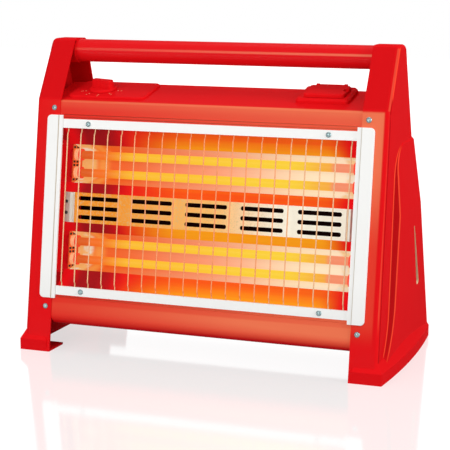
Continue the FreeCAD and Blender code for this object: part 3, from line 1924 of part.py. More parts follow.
# checks and export
doc.recompute()
broken = [item.Label for item in doc.Objects if "Invalid" in item.State or "Error" in item.State]
if broken:
    raise RuntimeError("failed to build: " + ", ".join(broken))
os.makedirs("parts", exist_ok=True)
for body in doc.findObjects("PartDesign::Body"):
    if body.Shape.isNull() or not body.Shape.isValid():
        raise RuntimeError("not a valid shape: " + body.Label)
    body.Shape.exportStep("parts/%s.step" % body.Label)
    print(body.Label, len(body.Shape.Solids), round(body.Shape.Volume))
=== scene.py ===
import math

import bpy
import numpy as np
from bpy.props import FloatProperty, FloatVectorProperty, IntProperty, PointerProperty
from mathutils import Matrix, Vector


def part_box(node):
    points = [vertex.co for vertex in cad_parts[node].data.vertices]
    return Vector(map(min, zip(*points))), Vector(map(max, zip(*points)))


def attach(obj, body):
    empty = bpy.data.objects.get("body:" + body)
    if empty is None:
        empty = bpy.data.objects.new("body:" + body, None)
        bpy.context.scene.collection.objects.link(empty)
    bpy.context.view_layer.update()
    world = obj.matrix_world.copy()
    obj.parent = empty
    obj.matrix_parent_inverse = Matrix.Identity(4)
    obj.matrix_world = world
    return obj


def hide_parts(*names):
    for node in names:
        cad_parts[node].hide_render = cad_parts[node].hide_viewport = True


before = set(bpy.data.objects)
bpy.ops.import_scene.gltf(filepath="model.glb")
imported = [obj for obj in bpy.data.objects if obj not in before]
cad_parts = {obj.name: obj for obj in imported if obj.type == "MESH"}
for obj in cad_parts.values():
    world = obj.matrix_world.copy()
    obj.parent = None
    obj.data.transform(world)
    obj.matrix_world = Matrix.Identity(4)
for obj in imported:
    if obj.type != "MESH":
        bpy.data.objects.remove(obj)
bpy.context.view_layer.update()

bl_info = {
    "name": "Portable quartz heater dressing",
    "version": (1, 0, 0),
    "blender": (4, 5, 0),
    "location": "3D View > Sidebar > Heater",
    "description": "Finishes, fasteners, dial marks and studio for the packed quartz heater",
    "category": "Object",
}

# lengths are in metres and angles in radians

# the leaning front: where its plane meets the floor, its lean and the way it looks
TOE = -0.141
LEAN = math.radians(8.5)
FRONT_OUT = (0.0, -math.cos(LEAN), math.sin(LEAN))

# the sloping top, which starts at the fold over the fascia
TOP_RISE = math.radians(13.1)
FOLD_UP = 0.3586
FASCIA_RECESS = 0.0015

# the outer side of a panel, and its raised pad, which leans in above a bend
SIDE_FACE = 0.2606
SIDE_DRAFT = 0.0073
PAD_FACE = 0.2655
PAD_BEND = 0.212
PAD_DRAFT = 0.057

# the step along the white strips, to each side of the middle
TRIM_STEP = 0.2216


def lean_point(across, into, up):
    """Point of the leaning front: across, depth behind its plane and height along it."""
    y = TOE + into * math.cos(LEAN) + up * math.sin(LEAN)
    z = up * math.cos(LEAN) - into * math.sin(LEAN)
    return across, y, z


def face_frame(across, into, up):
    """4x4 that puts a piece on the leaning front, its local Z pointing out of the face."""
    rise = (0.0, math.sin(LEAN), math.cos(LEAN))
    turn = Matrix(((1.0, 0.0, 0.0), rise, FRONT_OUT)).transposed()
    return Matrix.Translation(lean_point(across, into, up)) @ turn.to_4x4()


def bay_frame(across, into, up):
    """4x4 that puts a piece inside the leaning body, its local Y running inwards and its Z up the front."""
    return Matrix.Translation(lean_point(across, into, up)) @ Matrix.Rotation(-LEAN, 4, "X")


def top_frame(across, along, high):
    """4x4 that puts a piece on the sloping top, its local Z square to the sheet."""
    fold_y, fold_z = lean_point(across, FASCIA_RECESS, FOLD_UP)[1:]
    y = fold_y + along * math.cos(TOP_RISE) - high * math.sin(TOP_RISE)
    z = fold_z + along * math.sin(TOP_RISE) + high * math.cos(TOP_RISE)
    return Matrix.Translation((across, y, z)) @ Matrix.Rotation(TOP_RISE, 4, "X")


# middle of the sheet-metal body, and the dial just over the control plate
BODY_MIDDLE = (0.0, -0.055, 0.205)
DIAL_FRAME = top_frame(across=-0.176, along=0.048, high=0.00306)
DIAL_MARKS = 5
DOT_SPOKES = 20

# heights of the four tubes along the front: the opening's middle, its two bays, two rows in each
OPENING_UP = 0.208
BAY_OFFSETS = (-0.0626, 0.0626)
ROW_OFFSETS = (-0.0129, 0.0129)
TUBE_UPS = tuple(OPENING_UP + bay + row for bay in BAY_OFFSETS for row in ROW_OFFSETS)

# tiles of painted shade for the bracket slots: size, places around a tube, and how far they stand off the
# sheet
SLOT_DEEP = 0.0066
SLOT_HIGH = 0.0032
SLOT_RISES = (-0.0104, 0.0104)
SLOT_DEPTHS = (0.0370, 0.0465)
SLOT_STAND_OFF = 0.00012

# screws: places on the front, thickness of the rail under a head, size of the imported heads, and how far
# the recess is turned from head to head
PANEL_SCREW_ACROSS = 0.230
PANEL_SCREW_UPS = (0.0653, 0.3484)
RAIL_SCREW_ACROSS = 0.176
RAIL_SCREW_UPS = (0.0892, 0.3268)
RAIL_SHEET = 0.0012
HEAD_RADIUS = 0.00375
HEAD_HEIGHT = 0.0024
FIRST_TURN = 0.5
TURN_STEP = 1.3


# sizes and colours a user would change
class HeaterFinishes(bpy.types.PropertyGroup):
    """Colours of the heater's surfaces."""

    red: FloatVectorProperty(
        name="Red", description="Moulded panels and enamelled sheet", subtype="COLOR",
        size=3, default=(0.76, 0.007, 0.010), min=0, max=1,
    )
    # painted sheen: paler orange painted into the base colour where the gloss of the front faces shows
    bloom: FloatVectorProperty(
        name="Painted sheen", description="Paler orange that the gloss of the front faces takes on",
        subtype="COLOR", size=3, default=(0.86, 0.180, 0.082), min=0, max=1,
    )
    white: FloatVectorProperty(
        name="Trim white", description="Strips and rails round the opening", subtype="COLOR",
        size=3, default=(0.93, 0.93, 0.91), min=0, max=1,
    )
    glow: FloatVectorProperty(
        name="Glow", description="Light of a tube over its heated length", subtype="COLOR",
        size=3, default=(0.90, 0.63, 0.035), min=0, max=1,
    )
    ember: FloatVectorProperty(
        name="Ember", description="Light of a tube where its coil ends", subtype="COLOR",
        size=3, default=(0.84, 0.130, 0.012), min=0, max=1,
    )
    # salmon: painted light of the tubes on the reflectors, given out as glow
    salmon: FloatVectorProperty(
        name="Salmon", description="Reflectors lit by the tubes", subtype="COLOR",
        size=3, default=(0.86, 0.320, 0.180), min=0, max=1,
    )
    # cream: painted light on the reflectors towards the right-hand end, given out as glow
    cream: FloatVectorProperty(
        name="Cream", description="Bright sheet towards the right-hand end", subtype="COLOR",
        size=3, default=(0.92, 0.800, 0.580), min=0, max=1,
    )


class HeaterScrews(bpy.types.PropertyGroup):
    """Sizes of the pan-head screws."""

    head: FloatProperty(
        name="Head", description="Diameter of the head", default=2 * HEAD_RADIUS, unit="LENGTH",
    )
    height: FloatProperty(
        name="Height", description="Height of the dome over its seat", default=HEAD_HEIGHT, unit="LENGTH",
    )
    recess: FloatProperty(
        name="Recess", description="Depth of the cross recess", default=0.0011, unit="LENGTH",
    )
    rings: IntProperty(name="Rings", description="Rings from the middle to the rim", default=14, min=4)
    spokes: IntProperty(name="Spokes", description="Points round a ring", default=48, min=12)


class HeaterDial(bpy.types.PropertyGroup):
    """Marks round the selector knob."""

    radius: FloatProperty(
        name="Radius", description="Distance of the dots from the knob's axis", default=0.0252,
        unit="LENGTH",
    )
    dot: FloatProperty(name="Dot", description="Diameter of a dot", default=0.0022, unit="LENGTH")
    figure_radius: FloatProperty(
        name="Figure radius", description="Distance of the figures from the knob's axis", default=0.0305,
        unit="LENGTH",
    )
    figure: FloatProperty(
        name="Figure", description="Height of a printed figure", default=0.0040, unit="LENGTH",
    )
    first: FloatProperty(
        name="First", description="Direction of the mark 0", default=math.radians(204.0), unit="ROTATION",
    )
    step: FloatProperty(
        name="Step", description="Angle from mark to mark", default=math.radians(36.5), unit="ROTATION",
    )
    colour: FloatVectorProperty(
        name="Print", description="Colour of the printed marks", subtype="COLOR",
        size=3, default=(0.84, 0.30, 0.17), min=0, max=1,
    )


class HeaterCamera(bpy.types.PropertyGroup):
    """Standpoint of the photograph."""

    eye: FloatVectorProperty(
        name="Eye", description="Where the camera stands", subtype="XYZ", unit="LENGTH",
        size=3, default=(0.71000, -1.91240, 0.55358),
    )
    aim: FloatVectorProperty(
        name="Aim", description="Point in the middle of the picture", subtype="XYZ", unit="LENGTH",
        size=3, default=(0.04769, -0.14100, 0.20180),
    )
    lens: FloatProperty(
        name="Lens", description="Focal length on a 36 mm sensor, in millimetres", default=114.88,
    )


# shader expressions
class Value:
    """A socket that carries a number; arithmetic on it adds Math nodes to its tree."""

    def __init__(self, nodes, socket):
        self.nodes = nodes
        self.socket = socket

    def _math(self, operation, first, second):
        node = self.nodes.add("ShaderNodeMath", {"operation": operation}, Value=first, Value_001=second)
        return Value(self.nodes, node.outputs["Value"])

    def __add__(self, other):
        return self._math("ADD", self, other)

    def __radd__(self, other):
        return self._math("ADD", other, self)

    def __sub__(self, other):
        return self._math("SUBTRACT", self, other)

    def __rsub__(self, other):
        return self._math("SUBTRACT", other, self)

    def __mul__(self, other):
        return self._math("MULTIPLY", self, other)

    def __rmul__(self, other):
        return self._math("MULTIPLY", other, self)

    def __abs__(self):
        return self._math("ABSOLUTE", self, 0.0)

    def under(self, other):
        """The smaller of two numbers."""
        return self._math("MINIMUM", self, other)

    def smooth(self, low, high):
        """0 below low, 1 above high, with a soft step between."""
        settings = {"interpolation_type": "SMOOTHSTEP"}
        node = self.nodes.add("ShaderNodeMapRange", settings, Value=self, From_Min=low, From_Max=high)
        return Value(self.nodes, node.outputs["Result"])

    def fade(self, low, high):
        """1 below low, 0 above high, with a soft step between."""
        return 1 - self.smooth(low, high)

    def band(self, start, end):
        """1 between two soft steps, each given as its low and high end."""
        return self.smooth(*start) * self.fade(*end)


def socket_of(sockets, name):
    """The socket with an identifier, in which underscores may stand for spaces."""
    return next(socket for socket in sockets if socket.identifier.replace(" ", "_") == name)


class Nodes:
    """A node tree under construction and the shader node that it feeds."""

    def __init__(self, tree, shader, **constants):
        self.tree = tree
        self.shader = tree.nodes[shader]
        self.feed(**constants)

    def plug(self, slot, item):
        """Link a value or a socket to a slot, or set a plain number, colour or vector on it."""
        if isinstance(item, Value):
            item = item.socket
        if isinstance(item, bpy.types.NodeSocket):
            self.tree.links.new(item, slot)
            return
        if slot.type == "RGBA" and len(item) == 3:
            item = (*item, 1.0)
        slot.default_value = item

    def add(self, kind, settings=None, **inputs):
        """Add a node of any type; settings go on the node first, then its sockets are filled."""
        node = self.tree.nodes.new(kind)
        for name, item in (settings or {}).items():
            setattr(node, name, item)
        for name, item in inputs.items():
            self.plug(socket_of(node.inputs, name), item)
        return node

    def feed(self, **inputs):
        """Fill sockets of the shader."""
        for name, item in inputs.items():
            self.plug(socket_of(self.shader.inputs, name), item)

    def value(self, socket):
        """A socket as a number to calculate with."""
        return Value(self, socket)

    def seen(self):
        """1 or more on rays that show a surface: from the camera, through glass or off a gloss."""
        path = self.add("ShaderNodeLightPath").outputs
        camera = self.value(path["Is Camera Ray"])
        return camera + self.value(path["Is Transmission Ray"]) + self.value(path["Is Glossy Ray"])


class Finish(Nodes):
    """A material with one Principled shader, whose patterns follow the heater's own coordinates."""

    def __init__(self, name, **constants):
        self.material = bpy.data.materials.new(name)
        self.material.use_nodes = True
        super().__init__(self.material.node_tree, "Principled BSDF", **constants)

    def axis(self, name):
        """One Object coordinate as a number in metres."""
        source = self.add("ShaderNodeTexCoord").outputs["Object"]
        return self.value(self.add("ShaderNodeSeparateXYZ", Vector=source).outputs[name])

    def front(self):
        """Depth behind the leaning front plane and height along it, both in metres."""
        y, z = self.axis("Y"), self.axis("Z")
        into = (y - TOE) * math.cos(LEAN) - z * math.sin(LEAN)
        up = (y - TOE) * math.sin(LEAN) + z * math.cos(LEAN)
        return into, up

    def noise(self, scale, stretch=(1, 1, 1), detail=3.0):
        """Fractal noise from 0 to 1 at a scale in waves per metre; stretch scales each axis."""
        source = self.add("ShaderNodeTexCoord").outputs["Object"]
        place = self.add("ShaderNodeMapping", Vector=source, Scale=stretch).outputs["Vector"]
        node = self.add("ShaderNodeTexNoise", Vector=place, Scale=scale, Detail=detail, Roughness=0.55)
        return self.value(node.outputs["Fac"])

    def vector(self, operation, first, second, output="Vector"):
        """Vector Math on two vectors; a dot product is read from the output Value."""
        node = self.add("ShaderNodeVectorMath", {"operation": operation}, Vector=first, Vector_001=second)
        return node.outputs[output]

    def toward(self, direction):
        """How far the surface looks along a direction, from -1 to 1."""
        normal = self.add("ShaderNodeTexCoord").outputs["Normal"]
        return self.value(self.vector("DOT_PRODUCT", normal, direction, "Value"))

    def facing(self):
        """1 where the surface looks out of the heater's front, 0 where it looks to the inside."""
        return self.toward(FRONT_OUT).smooth(-0.08, 0.08)

    def outward(self, middle):
        """1 where the surface looks away from a line along X through the middle, 0 where it looks to it."""
        source = self.add("ShaderNodeTexCoord").outputs
        arm = self.vector("SUBTRACT", source["Object"], middle)
        arm = self.vector("MULTIPLY", arm, (0.0, 1.0, 1.0))
        turn = self.vector("DOT_PRODUCT", source["Normal"], arm, "Value")
        return self.value(turn).smooth(-0.004, 0.004)

    def blend(self, factor, first, second):
        """Colour between two colours."""
        node = self.add(
            "ShaderNodeMix", {"data_type": "RGBA"}, Factor_Float=factor, A_Color=first, B_Color=second
        )
        return socket_of(node.outputs, "Result_Color")

    def bump(self, height, strength, distance):
        """Fine relief of the surface; distance is its depth in metres."""
        node = self.add("ShaderNodeBump", Strength=strength, Distance=distance, Height=height)
        self.feed(Normal=node.outputs["Normal"])


# plain colours of the smaller pieces
NO_LIGHT = (0.0, 0.0, 0.0)
# red enamel of the tube brackets, painted orange with the tubes' light
BRACKET_GLOW_ORANGE = (0.82, 0.17, 0.045)
ZINC = (0.25, 0.33, 0.34)
SILVER = (0.70, 0.72, 0.62)
STEEL = (0.70, 0.70, 0.70)
BLACK = (0.012, 0.011, 0.011)
PALE = (0.72, 0.70, 0.64)


def shade(colour, factor):
    """A colour made darker or lighter by a factor."""
    return tuple(min(1.0, channel * factor) for channel in colour)


# finishes
def red_moulding(name, colours):
    """Moulded panels: flow marks, fine skin, and a painted sheen on the front face of the right one.

    The painted sheen ends at the bend and short of the outer corner, which has a thin painted highlight of
    its own, as has the rounded upper corner. The wall round the raised pad of the side is darkened with
    painted shade between two painted highlights along its edges, the slope over the bend is darkened with
    painted shade too, and the cut edge of the air slot is painted cream for the light that shows through
    it.
    """
    painted_edge_highlight = (0.95, 0.068, 0.030)
    painted_slot_light = (0.96, 0.80, 0.50)
    finish = Finish(name, Specular_IOR_Level=0.0, Coat_Weight=0.016, Coat_Roughness=0.12)
    flow = finish.noise(9.0, (1.0, 1.0, 0.4))
    skin = finish.noise(1400.0, detail=2.0)
    into, up = finish.front()
    x, y, z = (finish.axis(letter) for letter in "XYZ")
    across = abs(x)
    forward = finish.toward((0.0, -1.0, 0.0))
    sideways = abs(finish.toward((1.0, 0.0, 0.0)))

    # face and rising: where the painted sheen lies on the front faces, stronger to the right and higher up
    face = into.fade(0.0020, 0.0058) * x.band((-0.30, 0.25), (0.2490, 0.2520)) * up.fade(0.3570, 0.3605)
    rising = 0.22 * up.smooth(0.045, 0.085) + 0.74 * up.smooth(0.165, 0.300)
    # corner and upper_corner: thin painted highlights along the rounded outer corners
    corner = x.smooth(0.2562, 0.2574) * into.fade(0.0010, 0.0026) * up.smooth(0.060, 0.100)
    upper_corner = x.smooth(0.10, 0.20) * finish.toward((0.66, -0.65, 0.38)).smooth(0.955, 0.992)

    red = finish.blend(flow, shade(colours.red, 0.95), shade(colours.red, 1.05))
    # wall: painted shade on the wall round the raised pad of the side
    wall = forward.smooth(0.12, 0.24) * sideways.smooth(0.78, 0.92)
    red = finish.blend(wall, red, shade(colours.red, 0.66))
    # slope: painted shade on the face that slopes over the bend
    slope = forward.smooth(0.45, 0.70) * up.smooth(0.3590, 0.3640)
    red = finish.blend(slope, red, shade(colours.red, 0.84))
    # slot and cut: the cut edge of the air slot, painted cream for the light that shows through it
    slot = z.band((0.0925, 0.0940), (0.1855, 0.1870)) * y.band((0.026, 0.030), (0.074, 0.078))
    cut = slot * across.smooth(0.244, 0.248) * sideways.fade(0.30, 0.50)
    red = finish.blend(cut, red, painted_slot_light)
    # painted highlights along the crest and the foot of the wall round the pad
    over_crest = across - (PAD_FACE - PAD_DRAFT * (z - PAD_BEND)).under(PAD_FACE)
    over_foot = across - (SIDE_FACE - SIDE_DRAFT * z)
    edges = over_crest.smooth(-0.0012, -0.0008) + over_foot.fade(0.0007, 0.0011)
    red = finish.blend(wall * into.smooth(0.008, 0.014) * edges, red, painted_edge_highlight)

    finish.feed(
        Base_Color=finish.blend(face * rising + 0.34 * corner + 0.30 * upper_corner, red, colours.bloom),
        Roughness=0.30 + 0.08 * flow + 0.03 * skin,
    )
    finish.bump(skin, 0.10, 0.00004)
    return finish.material


def red_fitting(name, colour):
    """Small gloss mouldings of the controls: even colour, a skin texture and soft moulded waves."""
    finish = Finish(name, Specular_IOR_Level=0.0, Coat_Weight=0.035, Coat_Roughness=0.12)
    wave = finish.noise(40.0)
    skin = finish.noise(1800.0, detail=2.0)
    finish.feed(
        Base_Color=finish.blend(wave, shade(colour, 0.94), colour),
        Roughness=0.28 + 0.08 * wave + 0.03 * skin,
    )
    finish.bump(skin, 0.08, 0.00004)
    return finish.material


def red_enamel(name, colours):
    """Stoved enamel on sheet steel: orange peel, long waves and a painted sheen of its gloss on the front.

    The painted sheen grows from left to right, is strongest along the upper fold and dies out where the
    sheet turns under at the bottom; the inner side of the sheet is painted dark as shade.
    """
    painted_inner_shade = (0.030, 0.006, 0.006)
    finish = Finish(name, Specular_IOR_Level=0.0, Coat_Weight=0.045, Coat_Roughness=0.12)
    wave = finish.noise(6.0, (0.35, 1.0, 1.0))
    peel = finish.noise(620.0, detail=1.5)
    into, up = finish.front()
    # face, side, bead, under and fold shape the painted sheen: stronger to the right, weaker over the bead,
    # brightest along the fold
    face = into.fade(0.0034, 0.0068)
    side = 0.16 + 0.66 * finish.axis("X").smooth(-0.28, 0.22)
    bead = up.band((0.0700, 0.0735), (0.10, 0.12))
    under = up.smooth(0.038, 0.068) * (1.45 - 0.75 * up.smooth(0.20, 0.30) - 0.55 * bead)
    fold = 0.22 * up.smooth(0.3440, 0.3575) + 0.30 * up.smooth(0.3560, 0.3580)
    bloom = face * (side * under + fold) * (0.86 + 0.28 * wave)
    red = finish.blend(wave, shade(colours.red, 0.92), shade(colours.red, 1.02))
    # painted shade: the inner side of the sheet, which looks to the middle of the body, is painted dark
    red = finish.blend(finish.outward(BODY_MIDDLE), painted_inner_shade, red)
    finish.feed(
        Base_Color=finish.blend(bloom, red, colours.bloom),
        Roughness=0.27 + 0.08 * wave,
    )
    finish.bump(peel * 0.25 + wave, 0.12, 0.0006)
    return finish.material


def bar_enamel(name, colours):
    """Enamelled tube: glossier than the sheet, with fine draw lines and a thin painted highlight along its
    front.
    """
    finish = Finish(name, Specular_IOR_Level=0.0, Coat_Weight=0.14, Coat_Roughness=0.14)
    draw = finish.noise(300.0, (0.02, 1.0, 1.0))
    # line: a thin painted highlight along the front of the tube, patchy and stronger to the right
    line = finish.toward((0.0, -0.981, 0.194)).smooth(0.9915, 0.9992)
    along = 0.18 + 0.52 * finish.axis("X").smooth(-0.20, 0.12)
    patches = 0.6 + 0.6 * finish.noise(16.0)
    red = finish.blend(draw, shade(colours.red, 0.92), colours.red)
    finish.feed(
        Base_Color=finish.blend(line * along * patches, red, colours.bloom),
        Roughness=0.24 + 0.06 * draw,
    )
    finish.bump(draw, 0.06, 0.00008)
    return finish.material


def glowing_enamel(name, colours):
    """Red lining of the bays, given a painted glow: orange where the tubes light it, dimmer towards its
    left end.

    Painted yellow light comes up at the back of the upper lining, on the underside of the centre channel
    and at the front of the lower lining, with fine streaks along the sheet; faces that look into the body
    are painted dark as shade.
    """
    # deep_orange and yellow_orange: the painted glow of the tubes on the lining
    deep_orange = (0.82, 0.080, 0.008)
    yellow_orange = (0.93, 0.60, 0.014)
    dim_band_red = (0.16, 0.008, 0.010)
    # back: dark painted shade on faces that look into the body
    back = (0.16, 0.006, 0.008)
    finish = Finish(name, Specular_IOR_Level=0.0, Coat_Weight=0.02, Emission_Strength=0.58)
    x = finish.axis("X")
    into, up = finish.front()
    glow_and_relief_patches = finish.noise(22.0, (0.5, 1.0, 1.0))
    streak = finish.noise(150.0, (0.03, 1.0, 1.0))
    # lit: where the painted glow lies, in patches
    lit = x.band((-0.140, -0.025), (0.165, 0.205)) * (0.80 + 0.40 * glow_and_relief_patches)
    upper = up.smooth(0.262, 0.282) * into.smooth(0.012, 0.036)
    lower = up.fade(0.134, 0.146) * (1 - 0.9 * into.smooth(0.008, 0.028))
    under = up.band((0.146, 0.152), (0.196, 0.206))
    yellow = 0.16 + 0.74 * (upper + lower + under) + 0.4 * (streak - 0.5)
    orange = finish.blend(yellow, deep_orange, yellow_orange)
    # dark: a band near the left end, darker, with a dimmer painted glow
    dark = x.band((-0.212, -0.184), (-0.162, -0.112))
    end = finish.blend(dark, shade(colours.red, 0.85), dim_band_red)
    facing = finish.facing()
    finish.feed(
        Base_Color=finish.blend(facing * (1 - 0.6 * dark), back, shade(colours.red, 0.62)),
        Roughness=0.34 + 0.10 * glow_and_relief_patches,
        Emission_Color=finish.blend(facing, NO_LIGHT, finish.blend(lit, end, orange)),
    )
    finish.bump(glow_and_relief_patches, 0.10, 0.0005)
    return finish.material


def lit_wall(name, colour):
    """Enamelled end walls, whose inner side is given a painted glow of the tubes' light as far back as the
    bays go.
    """
    finish = Finish(name, Specular_IOR_Level=0.0, Coat_Weight=0.03, Emission_Strength=0.40)
    cloud = finish.noise(40.0)
    away = finish.toward((1.0, 0.0, 0.0)) * finish.axis("X")
    into = finish.front()[0]
    # inside: where the painted glow of the tubes lies
    inside = away.fade(-0.06, 0.0) * into.fade(0.056, 0.070)
    tone = finish.blend(cloud, shade(colour, 0.86), colour)
    finish.feed(
        Base_Color=tone,
        Roughness=0.32 + 0.10 * cloud,
        Emission_Color=finish.blend(inside, NO_LIGHT, tone),
    )
    finish.bump(cloud, 0.08, 0.0004)
    return finish.material


def satin_white(name, colour):
    """White powder coat: fine grain, greyer low down, and a brown line along the step of the strips."""
    step_brown = (0.42, 0.33, 0.22)
    finish = Finish(name, Specular_IOR_Level=0.2)
    dust = finish.noise(24.0, (1.0, 1.0, 0.25))
    grain = finish.noise(2100.0, detail=2.0)
    low = finish.axis("Z").fade(0.07, 0.14) * (0.5 + 0.5 * dust)
    step = abs(abs(finish.axis("X")) - TRIM_STEP).fade(0.0002, 0.0009)
    white = finish.blend(dust, shade(colour, 0.96), colour)
    white = finish.blend(0.35 * low, white, shade(colour, 0.80))
    finish.feed(
        Base_Color=finish.blend(0.75 * step, white, step_brown),
        Roughness=0.34 + 0.10 * dust,
    )
    finish.bump(grain, 0.12, 0.00003)
    return finish.material


def guard_wire(name):
    """Thin plated wire with the glow of the tubes painted on it in the middle; it stays cream at the ends.
    """
    # lit: painted glow of the tubes on the middle of the wire
    lit = (0.84, 0.30, 0.13)
    bare = (0.78, 0.52, 0.29)
    tarnish = (0.45, 0.20, 0.10)
    finish = Finish(name, Specular_IOR_Level=0.3, Metallic=0.3)
    cloud = finish.noise(160.0)
    tone = finish.blend(abs(finish.axis("X")).smooth(0.05, 0.20), lit, bare)
    finish.feed(
        Base_Color=finish.blend(0.3 * cloud, tone, tarnish),
        Roughness=0.34 + 0.14 * cloud,
    )
    finish.bump(cloud, 0.05, 0.00003)
    return finish.material


def plated(name, colour):
    """Bright plating with a cloudy roughness and fine pits."""
    finish = Finish(name, Metallic=1.0)
    cloud = finish.noise(160.0)
    pit = finish.noise(2600.0, detail=2.0)
    finish.feed(
        Base_Color=finish.blend(cloud, shade(colour, 0.88), colour),
        Roughness=0.16 + 0.14 * cloud,
    )
    finish.bump(pit, 0.08, 0.00003)
    return finish.material


def brushed(name, colour, stretch, metallic):
    """Metal with a grain drawn out along the axes whose stretch is small."""
    finish = Finish(name, Metallic=metallic)
    grain = finish.noise(900.0, stretch, detail=4.0)
    cloud = finish.noise(14.0)
    finish.feed(
        Base_Color=finish.blend(grain, shade(colour, 0.86), colour),
        Roughness=0.24 + 0.16 * (0.6 * grain + 0.4 * cloud),
    )
    finish.bump(grain, 0.10, 0.00004)
    return finish.material


def lit_reflector(name, colours):
    """Polished sheet behind the tubes, given out as painted glow: salmon in their light, orange left, cream
    right, ends bare; faces that look into the body are painted dark as shade.
    """
    left_orange = (0.80, 0.125, 0.014)
    end_band = (0.84, 0.30, 0.050)
    end_band_at = -0.178
    warm_left = (0.84, 0.46, 0.140)
    warm_right = (0.84, 0.60, 0.30)
    bare_sheet = (0.78, 0.74, 0.58)
    # back: painted shade on faces that look into the body
    back = (0.03, 0.02, 0.02)
    finish = Finish(name, Specular_IOR_Level=0.08, Metallic=0.05, Emission_Strength=0.66)
    x = finish.axis("X")
    across = abs(x)
    grain = finish.noise(900.0, (0.03, 1.0, 1.0), detail=4.0)
    lit = finish.blend(x.smooth(-0.17, 0.02), left_orange, colours.salmon)
    lit = finish.blend(x.smooth(-0.03, 0.18), lit, colours.cream)
    lit = finish.blend(abs(x - end_band_at).fade(0.0, 0.016), lit, end_band)
    warm = finish.blend(x.smooth(-0.10, 0.10), warm_left, warm_right)
    bare = finish.blend(finish.noise(60.0).smooth(0.46, 0.64), warm, bare_sheet)
    lit = finish.blend(across.smooth(0.184, 0.192), lit, bare)
    lit = finish.blend(across.smooth(0.2118, 0.2126), lit, shade(colours.red, 0.8))
    facing = finish.facing()
    finish.feed(
        Base_Color=finish.blend(facing * (0.30 + 0.15 * grain), back, lit),
        Roughness=0.36 + 0.12 * grain,
        Emission_Color=finish.blend(facing, NO_LIGHT, lit),
    )
    finish.bump(grain, 0.06, 0.00004)
    return finish.material


def vent_sheet(name):
    """Satin sheet between the bays, given a painted glow in its own tint: orange and speckled on the left,
    clean grey-cream on the right.
    """
    amber = (0.80, 0.27, 0.016)
    sand = (0.86, 0.46, 0.125)
    clean = (0.86, 0.83, 0.69)
    spot = (0.58, 0.47, 0.24)
    finish = Finish(name, Specular_IOR_Level=0.06, Emission_Strength=0.16)
    x = finish.axis("X")
    speck = finish.noise(520.0, detail=4.0).smooth(0.50, 0.66)
    tint = finish.blend(x.smooth(-0.17, 0.02), amber, sand)
    tint = finish.blend(x.smooth(0.0, 0.13), tint, clean)
    tint = finish.blend(speck * x.fade(0.02, 0.16) * 0.55, tint, spot)
    finish.feed(
        Base_Color=tint,
        Roughness=0.36 + 0.16 * speck,
        Emission_Color=tint,
    )
    finish.bump(speck, 0.05, 0.00004)
    return finish.material


def lit_quartz(name, colours):
    """Milky tube lit from inside: even over the coil, ember or gold at its ends, dull next to the caps."""
    amber = (0.90, 0.50, 0.024)
    gold = (0.86, 0.38, 0.045)
    spent_left = (0.66, 0.075, 0.008)
    spent_right = (0.84, 0.24, 0.14)
    thin_milk = (0.10, 0.05, 0.015)
    thick_milk = (0.14, 0.08, 0.02)
    heated_middle = -0.006
    finish = Finish(name, Specular_IOR_Level=0.08, Emission_Strength=0.95)
    x = finish.axis("X")
    milk = finish.noise(260.0, (0.15, 1.0, 1.0))
    half = x.smooth(-0.05, 0.05)
    glow = finish.blend(x.smooth(-0.12, 0.10), amber, colours.glow)
    glow = finish.blend(0.10 * milk, glow, colours.ember)
    tip = finish.blend(half, colours.ember, gold)
    coil = finish.blend(abs(x).smooth(0.112, 0.174), glow, tip)
    spent = finish.blend(half, spent_left, spent_right)
    finish.feed(
        Base_Color=finish.blend(milk, thin_milk, thick_milk),
        Roughness=0.30 + 0.12 * milk,
        Emission_Color=finish.blend(abs(x - heated_middle).smooth(0.174, 0.183), coil, spent),
    )
    finish.bump(milk, 0.05, 0.0001)
    return finish.material


def hot_wire(name, colours):
    """Glowing resistance wire inside a tube."""
    dark_scale = (0.30, 0.16, 0.08)
    light_scale = (0.46, 0.28, 0.12)
    finish = Finish(name, Metallic=0.6, Emission_Strength=1.0)
    scale = finish.noise(800.0)
    finish.feed(
        Base_Color=finish.blend(scale, dark_scale, light_scale),
        Roughness=0.45 + 0.2 * scale,
        Emission_Color=finish.blend(scale, colours.ember, colours.glow),
    )
    return finish.material


def ceramic(name, colours):
    """Unglazed cap, warmed by painted light of the tubes which it gives out as glow, with speckles, a red
    ring at its mouth and a red foot.
    """
    # pale and brown: the cap's own tones, warmed with painted light of the tubes
    pale = (0.88, 0.48, 0.24)
    brown = (0.66, 0.34, 0.16)
    mouth_red = (0.80, 0.075, 0.035)
    finish = Finish(name, Specular_IOR_Level=0.2, Emission_Strength=0.35)
    across = abs(finish.axis("X"))
    speck = finish.noise(900.0, detail=5.0).smooth(0.56, 0.70)
    chalk = finish.noise(1800.0)
    tone = finish.blend(speck, pale, brown)
    tone = finish.blend(across.fade(0.2066, 0.2076), tone, mouth_red)
    tone = finish.blend(across.smooth(0.2130, 0.2138), tone, shade(colours.red, 0.6))
    finish.feed(
        Base_Color=tone,
        Roughness=0.62 + 0.2 * chalk,
        Emission_Color=tone,
    )
    finish.bump(chalk, 0.25, 0.00008)
    return finish.material


def grained_plastic(name, colour):
    """Matt moulding with an eroded grain."""
    finish = Finish(name, Specular_IOR_Level=0.4)
    grain = finish.noise(1100.0, detail=4.0)
    tone = finish.noise(30.0)
    finish.feed(
        Base_Color=finish.blend(tone, shade(colour, 0.85), shade(colour, 1.1)),
        Roughness=0.48 + 0.2 * grain,
    )
    finish.bump(grain, 0.3, 0.00008)
    return finish.material


def printed(name, colour):
    """Pad-printed ink, a little uneven."""
    finish = Finish(name, Specular_IOR_Level=0.4)
    ink = finish.noise(1500.0)
    finish.feed(
        Base_Color=finish.blend(ink, shade(colour, 0.86), colour),
        Roughness=0.42 + 0.15 * ink,
    )
    return finish.material


